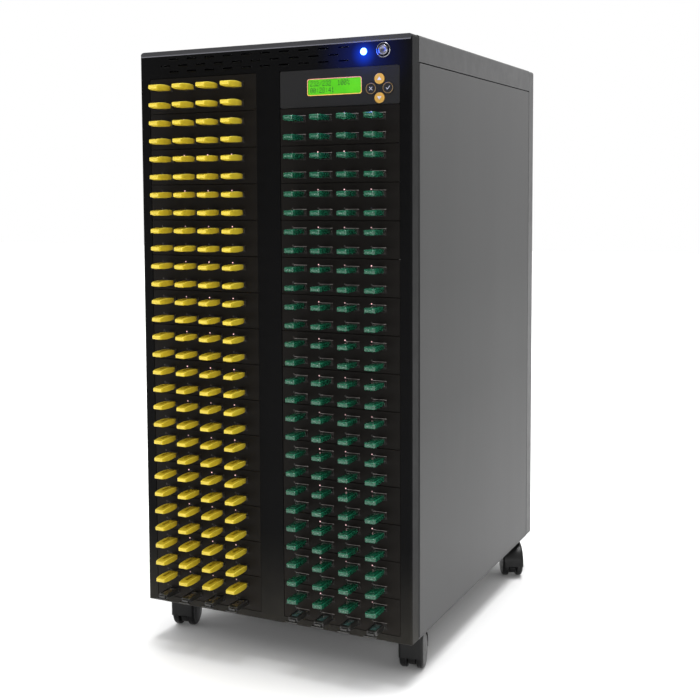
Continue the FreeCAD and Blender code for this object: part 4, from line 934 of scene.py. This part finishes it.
y_template, g_template = yellow_drive(), green_drive()
b_brown, b_teal = black_drive("brown"), black_drive("teal")
yellow_all = mesh_object("yellow_drive_bodies", stamp("yellow_drive_bodies", y_template, places["yellow"]), "cabinet",
                         [M["yellow"], M["yellow_edge"], M["yellow_groove"], M["yellow_end"]])
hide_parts("yellow_drives")
green_all = mesh_object("green_drive_bodies", stamp("green_drive_bodies", g_template, places["green"]), "cabinet",
                        [M["green"], M["green_edge"], M["pale"], M["green_ridge"]])
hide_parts("green_drives")
black_l = mesh_object("black_drive_bodies_left", stamp("black_drive_bodies_left", b_brown, places["black_left"]), "cabinet",
                      [M["black_drive"], M["window_brown"], M["black_edge"]])
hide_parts("black_drives")
black_r = mesh_object("black_drive_bodies_right", stamp("black_drive_bodies_right", b_teal, places["black_right"]), "cabinet",
                      [M["black_drive"], M["window_teal"], M["black_edge"]])
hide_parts("black_drives")
ys = mesh_object("yellow_drive_single_body", stamp("yellow_drive_single_body", y_template, [single_place["yellow"]]), "yellow_drive",
                 [M["yellow"], M["yellow_edge"], M["yellow_groove"], M["yellow_end"]])
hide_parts("yellow_drive_single")
gs = mesh_object("green_drive_single_body", stamp("green_drive_single_body", g_template, [single_place["green"]]), "green_drive",
                 [M["green"], M["green_edge"], M["pale"], M["green_ridge"]])
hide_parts("green_drive_single")
bs = mesh_object("black_drive_single_body", stamp("black_drive_single_body", b_teal, [single_place["black"]]), "black_drive",
                 [M["black_drive"], M["window_teal"], M["black_edge"]])
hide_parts("black_drive_single")


# ------------------------------------------------------------------ rounded keel between the two wheels of each caster, below the shroud
WHEEL_R, TRAIL = 20.0, 14.0
STEMS = {"front_left": (-155.4, YF + 50.0), "front_right": (155.4, YF + 50.0), "rear_left": (-155.4, YF + 448.0), "rear_right": (155.4, YF + 448.0)}
CASTER_YAW = {"front_left": 13.0, "front_right": 12.0, "rear_left": 154.0, "rear_right": 206.0}


def keel_bm():
    r = WHEEL_R - 3.2
    low = [(TRAIL + r * math.cos(math.radians(a)), WHEEL_R + r * math.sin(math.radians(a))) for a in range(-158, -21, 8)]
    outline = [(y, z) for y, z in low] + [(TRAIL + 12.5, 15.6), (TRAIL - 12.5, 15.6)]
    bm = prism_bm(outline, -4.5, 4.5)
    bmesh.ops.rotate(bm, verts=bm.verts, cent=(0, 0, 0), matrix=Matrix(((0, 0, 1), (1, 0, 0), (0, 1, 0))))
    return bevel_bm(bm, 0.9, 3)


for place_name, (sx, sy) in STEMS.items():
    kb = keel_bm()
    bmesh.ops.rotate(kb, verts=kb.verts, cent=(0, 0, 0), matrix=Matrix.Rotation(math.radians(CASTER_YAW[place_name]), 3, "Z"))
    bmesh.ops.translate(kb, verts=kb.verts, vec=(sx, sy, 0.0))
    bmesh.ops.scale(kb, verts=kb.verts, vec=(MM, MM, MM))
    mesh_object("caster_%s_keel" % place_name, bm_to_mesh(kb, "caster_%s_keel" % place_name), "caster_%s" % place_name, [M["nylon"]])


# ------------------------------------------------------------------ lip behind the lower edge of each bezel, lapping over the next one down
def lip_bm(length):
    """L-section strip along X; y is measured from the bezel's back, z from the bezel's lower edge."""
    sect = [(-0.02, 1.5), (1.0, 1.5), (1.0, -1.0), (0.75, -1.25), (0.15, -1.25), (0.15, 0.0), (-0.02, 0.0)]
    bm = bmesh.new()
    a = [bm.verts.new((-length / 2, y, z)) for y, z in sect]
    b = [bm.verts.new((length / 2, y, z)) for y, z in sect]
    n = len(sect)
    bm.faces.new(a)
    bm.faces.new(list(reversed(b)))
    for i in range(n):
        bm.faces.new((a[i], a[(i + 1) % n], b[(i + 1) % n], b[i]))
    bmesh.ops.recalc_face_normals(bm, faces=bm.faces)
    return bm


for side, cx in (("left", -COL_X), ("right", COL_X)):
    p = Pieces()
    p.add_bm(lip_bm(142.0), 0)
    mesh_object(side + "_bezel_lips", stamp(side + "_bezel_lips", p, [(cx, YF + 3.2, bay_z(k) + 0.15) for k in range(1, BAYS)]), "cabinet", [M["bezel"]])


# ------------------------------------------------------------------ display: border and dots
CPX, CPZ = COL_X, bay_z(BAYS - 1)
LCD_X, LCD_Z, LCD_W, LCD_H = CPX - 5.1, CPZ + 22.3, 65.0, 17.4


def frame_ring(w_out, h_out, r_out, w_in, h_in, r_in, y0, y1, n=8):
    """Flat rounded frame standing in the XZ plane, from y0 (front) to y1."""
    def loop(w, h, r):
        pts = []
        for cx, cz, a0 in ((w / 2 - r, -h / 2 + r, -90), (w / 2 - r, h / 2 - r, 0), (-w / 2 + r, h / 2 - r, 90), (-w / 2 + r, -h / 2 + r, 180)):
            for i in range(n + 1):
                a = math.radians(a0 + 90.0 * i / n)
                pts.append((cx + r * math.cos(a), cz + r * math.sin(a)))
        return pts
    lo, li = loop(w_out, h_out, r_out), loop(w_in, h_in, r_in)
    bm = bmesh.new()
    of = [bm.verts.new((x, y0, z)) for x, z in lo]
    inf = [bm.verts.new((x, y0, z)) for x, z in li]
    ob = [bm.verts.new((x, y1, z)) for x, z in lo]
    ib = [bm.verts.new((x, y1, z)) for x, z in li]
    k = len(lo)
    for i in range(k):
        j = (i + 1) % k
        bm.faces.new((of[i], of[j], inf[j], inf[i]))
        bm.faces.new((ob[j], ob[i], ib[i], ib[j]))
        bm.faces.new((of[j], of[i], ob[i], ob[j]))
        bm.faces.new((inf[i], inf[j], ib[j], ib[i]))
    return bm


p = Pieces()
p.add_bm(bevel_bm(frame_ring(LCD_W + 1.5, LCD_H + 1.5, 2.6, LCD_W - 0.3, LCD_H - 0.3, 1.9, -0.14, 0.05), 0.04, 2), 0)
mesh_object("display_border", stamp("display_border", p, [(LCD_X, YF, LCD_Z)]), "cabinet", [M["border"]])

FONT = {
    "0": "01110 10001 10011 10101 11001 10001 01110", "1": "00100 01100 00100 00100 00100 00100 01110",
    "2": "01110 10001 00001 00110 01000 10000 11111", "3": "01110 10001 00001 00110 00001 10001 01110",
    "4": "00010 00110 01010 10010 11111 00010 00010", "5": "11111 10000 11110 00001 00001 10001 01110",
    "6": "00110 01000 10000 11110 10001 10001 01110", "7": "11111 00001 00010 00100 01000 01000 01000",
    "8": "01110 10001 10001 01110 10001 10001 01110", "9": "01110 10001 10001 01111 00001 00010 01100",
    ":": "00000 00100 00100 00000 00100 00100 00000", "/": "00000 00001 00010 00100 01000 10000 00000",
    "%": "11000 11001 00010 00100 01000 10011 00011", "-": "00000 00000 00000 11111 00000 00000 00000", " ": "00000 00000 00000 00000 00000 00000 00000",
}
LINES = ("232/232  100%  ", "00:28:41        ")
p = Pieces()
for li, text in enumerate(LINES):
    z_top = LCD_Z + 7.0 - li * 7.6
    for ci, ch in enumerate(text[:16]):
        rows = FONT[ch].split()
        for ri, bits in enumerate(rows):
            for bi, bit in enumerate(bits):
                if bit == "1":
                    x0 = LCD_X - 30.0 + ci * 3.75 + 0.3 + bi * 0.62
                    z0 = z_top - ri * 0.86
                    bm = bmesh.new()
                    q = [(x0, z0 - 0.80), (x0 + 0.56, z0 - 0.80), (x0 + 0.56, z0), (x0, z0)]
                    f = [bm.verts.new((x, YF + 0.52, z)) for x, z in q]
                    g = [bm.verts.new((x, YF + 0.60, z)) for x, z in q]
                    bm.faces.new(f)
                    bm.faces.new(list(reversed(g)))
                    for a in range(4):
                        bm.faces.new((f[a], f[(a + 1) % 4], g[(a + 1) % 4], g[a]))
                    p.add_bm(bm, 0)
mesh_object("display_digits", stamp("display_digits", p, [(0, 0, 0)]), "cabinet", [M["lcd_dot"]])


# ------------------------------------------------------------------ key signs
def flat_shape(points, y0, y1):
    bm = bmesh.new()
    f = [bm.verts.new((x, y0, z)) for x, z in points]
    g = [bm.verts.new((x, y1, z)) for x, z in points]
    n = len(points)
    bm.faces.new(f)
    bm.faces.new(list(reversed(g)))
    for a in range(n):
        bm.faces.new((f[a], f[(a + 1) % n], g[(a + 1) % n], g[a]))
    bmesh.ops.recalc_face_normals(bm, faces=bm.faces)
    return bm


def bar(x0, z0, x1, z1, w, y0, y1):
    d = Vector((x1 - x0, z1 - z0)).normalized()
    n = Vector((-d.y, d.x)) * (w / 2)
    e = d * (w / 2)
    return flat_shape([(x0 - e.x + n.x, z0 - e.y + n.y), (x0 - e.x - n.x, z0 - e.y - n.y), (x1 + e.x - n.x, z1 + e.y - n.y), (x1 + e.x + n.x, z1 + e.y + n.y)], y0, y1)


KX, KZ = CPX + 49.4, CPZ + 17.6
KEY_FRONT = YF - 1.0
SIGN_Y = (-0.10, 0.06)
for name, x, z, s in (("up_key", KX, KZ + 10.4, 1), ("down_key", KX, KZ - 10.4, -1)):
    p = Pieces()
    tri = [(-2.6, -1.6 * s), (2.6, -1.6 * s), (0.0, 2.3 * s)]
    p.add_bm(bevel_bm(flat_shape(tri, *SIGN_Y), 0.05, 2), 0)
    mesh_object(name + "_sign", stamp(name + "_sign", p, [(x, KEY_FRONT, z)]), name + "_body", [M["print"]])
for name, x, z in (("back_key", KX - 10.0, KZ), ("enter_key", KX + 10.0, KZ)):
    p = Pieces()
    if name == "back_key":
        p.add_bm(bar(-1.6, -1.6, 1.6, 1.6, 0.7, *SIGN_Y), 0)
        p.add_bm(bar(-1.6, 1.6, 1.6, -1.6, 0.7, SIGN_Y[0] + 0.01, SIGN_Y[1]), 0)
    else:
        p.add_bm(bar(-1.9, -0.1, -0.6, -1.5, 0.7, *SIGN_Y), 0)
        p.add_bm(bar(-0.6, -1.5, 2.1, 1.6, 0.7, SIGN_Y[0] + 0.01, SIGN_Y[1]), 0)
    p.add_bm(bevel_bm(frame_ring(11.7, 11.7, 5.8499, 10.7, 10.7, 5.3499, -0.12, 0.06, 12), 0.04, 2), 1)
    mesh_object(name + "_sign", stamp(name + "_sign", p, [(x, KEY_FRONT, z)]), name + "_body", [M["print_dim"], M["gold_dim"]])


# ------------------------------------------------------------------ smooth shading on the CAD pieces, sharp above 30 degrees
def soften(name, width_mm, segments=2, angle=40.0):
    o = NODE[name]
    for p_ in o.data.polygons:
        p_.use_smooth = True
    o.data.set_sharp_from_angle(angle=math.radians(30.0))


for n in NODE:
    if n in PLAIN or n.startswith("caster_"):
        soften(n, 0.2)

# ------------------------------------------------------------------ floor, lights, camera
fm = bpy.data.meshes.new("studio_floor")
bm = bmesh.new()
bmesh.ops.create_grid(bm, x_segments=8, y_segments=8, size=9.0)
bm.to_mesh(fm)
bm.free()
floor = bpy.data.objects.new("studio_floor", fm)
bpy.context.scene.collection.objects.link(floor)
fm.materials.append(floor_material())


def area(name, at, target, size, watts, color=(1, 1, 1), size_y=None):
    d = bpy.data.lights.new(name, "AREA")
    d.energy = watts
    d.color = color
    d.shape = "RECTANGLE" if size_y else "SQUARE"
    d.size = size
    if size_y:
        d.size_y = size_y
    o = bpy.data.objects.new(name, d)
    bpy.context.scene.collection.objects.link(o)
    o.location = at
    o.rotation_euler = (Vector(target) - Vector(at)).to_track_quat("-Z", "Y").to_euler()
    return o


key = bpy.data.lights.new("key_above", "SUN")
key.energy = 3.3
key.angle = math.radians(29.0)
ko = bpy.data.objects.new("key_above", key)
bpy.context.scene.collection.objects.link(ko)
ko.rotation_euler = Vector((-0.03, -0.08, -1.0)).to_track_quat("-Z", "Y").to_euler()
area("front_fill", (1.30, -2.78, 0.85), (0.0, -0.2, 0.40), 0.9, 28.0)
area("left_fill", (-1.9, -1.6, 1.5), (0.0, -0.2, 0.4), 0.7, 7.0)

blue = bpy.data.lights.new("power_light_glow", "POINT")
blue.energy = 0.085
blue.color = (0.015, 0.10, 1.0)
blue.shadow_soft_size = 0.009
bo = bpy.data.objects.new("power_light_glow", blue)
bpy.context.scene.collection.objects.link(bo)
bo.location = (LIGHT.x - 0.002, LIGHT.y - 0.012, LIGHT.z - 0.002)
bo.visible_camera = False

world = bpy.data.worlds.new("studio")
bpy.context.scene.world = world
world.use_nodes = True
wt = world.node_tree
wt.nodes.clear()
tc = wt.nodes.new("ShaderNodeTexCoord")
sep = wt.nodes.new("ShaderNodeSeparateXYZ")
wt.links.new(tc.outputs["Generated"], sep.inputs[0])


def wmath(op, a, b=None, clamp=False):
    n = wt.nodes.new("ShaderNodeMath")
    n.operation = op
    n.use_clamp = clamp
    for i, x in enumerate((a, b)):
        if x is None:
            continue
        if isinstance(x, (int, float)):
            n.inputs[i].default_value = x
        else:
            wt.links.new(x, n.inputs[i])
    return n.outputs[0]


def wramp(v, a, b, c, d):
    r = wt.nodes.new("ShaderNodeMapRange")
    r.interpolation_type = "SMOOTHSTEP"
    for k, x in (("From Min", a), ("From Max", b), ("To Min", c), ("To Max", d)):
        r.inputs[k].default_value = x
    wt.links.new(v, r.inputs["Value"])
    return r.outputs["Result"]


back_right = wmath("ADD", wmath("MULTIPLY", sep.outputs[0], 0.62), wmath("MULTIPLY", sep.outputs[1], 0.78))
right_part = wramp(back_right, -0.25, 0.55, 0.0, 1.0)
upper_part = wramp(sep.outputs[2], 0.10, 0.85, 0.0, 0.85)
level = wmath("MAXIMUM", right_part, upper_part)
side_part = wramp(sep.outputs[0], 0.10, 0.60, 1.22, 0.72)
level = wmath("MULTIPLY", level, side_part)
level = wmath("ADD", wmath("MULTIPLY", level, 1.10), 0.035)
light_bg = wt.nodes.new("ShaderNodeBackground")
light_bg.inputs["Color"].default_value = (1.0, 1.0, 1.0, 1.0)
wt.links.new(level, light_bg.inputs["Strength"])
cam_bg = wt.nodes.new("ShaderNodeBackground")
cam_bg.inputs["Color"].default_value = (1.0, 1.0, 1.0, 1.0)
cam_bg.inputs["Strength"].default_value = 1.0
lp = wt.nodes.new("ShaderNodeLightPath")
mixw = wt.nodes.new("ShaderNodeMixShader")
wt.links.new(lp.outputs["Is Camera Ray"], mixw.inputs[0])
wt.links.new(light_bg.outputs[0], mixw.inputs[1])
wt.links.new(cam_bg.outputs[0], mixw.inputs[2])
out = wt.nodes.new("ShaderNodeOutputWorld")
wt.links.new(mixw.outputs[0], out.inputs["Surface"])

yaw, pitch, roll = math.radians(-27.466), math.radians(-4.134), math.radians(-0.501)
fwd = Vector((math.sin(yaw) * math.cos(pitch), math.cos(yaw) * math.cos(pitch), math.sin(pitch)))
right = Vector((math.cos(yaw), -math.sin(yaw), 0.0))
up = right.cross(fwd)
r2 = right * math.cos(roll) + up * math.sin(roll)
u2 = right * (-math.sin(roll)) + up * math.cos(roll)
cam = bpy.data.cameras.new("camera")
cam.sensor_width = 36.0
cam.lens = 1164.38 / 700.0 * 36.0
cam.shift_x = (350.0 - 278.16) / 700.0
cam.shift_y = (276.42 - 350.0) / 700.0
cam.clip_start = 0.05
cam.clip_end = 60.0
co = bpy.data.objects.new("camera", cam)
bpy.context.scene.collection.objects.link(co)
rot = Matrix((r2, u2, -fwd)).transposed().to_4x4()
co.matrix_world = Matrix.Translation(Vector((803.9 - 175.0, -1188.8 + YF, 506.2 + 50.0)) * MM) @ rot
bpy.context.scene.camera = co
bpy.context.scene.view_settings.view_transform = "Standard"
bpy.context.scene.view_settings.look = "None"
bpy.context.scene.view_settings.exposure = 0.0
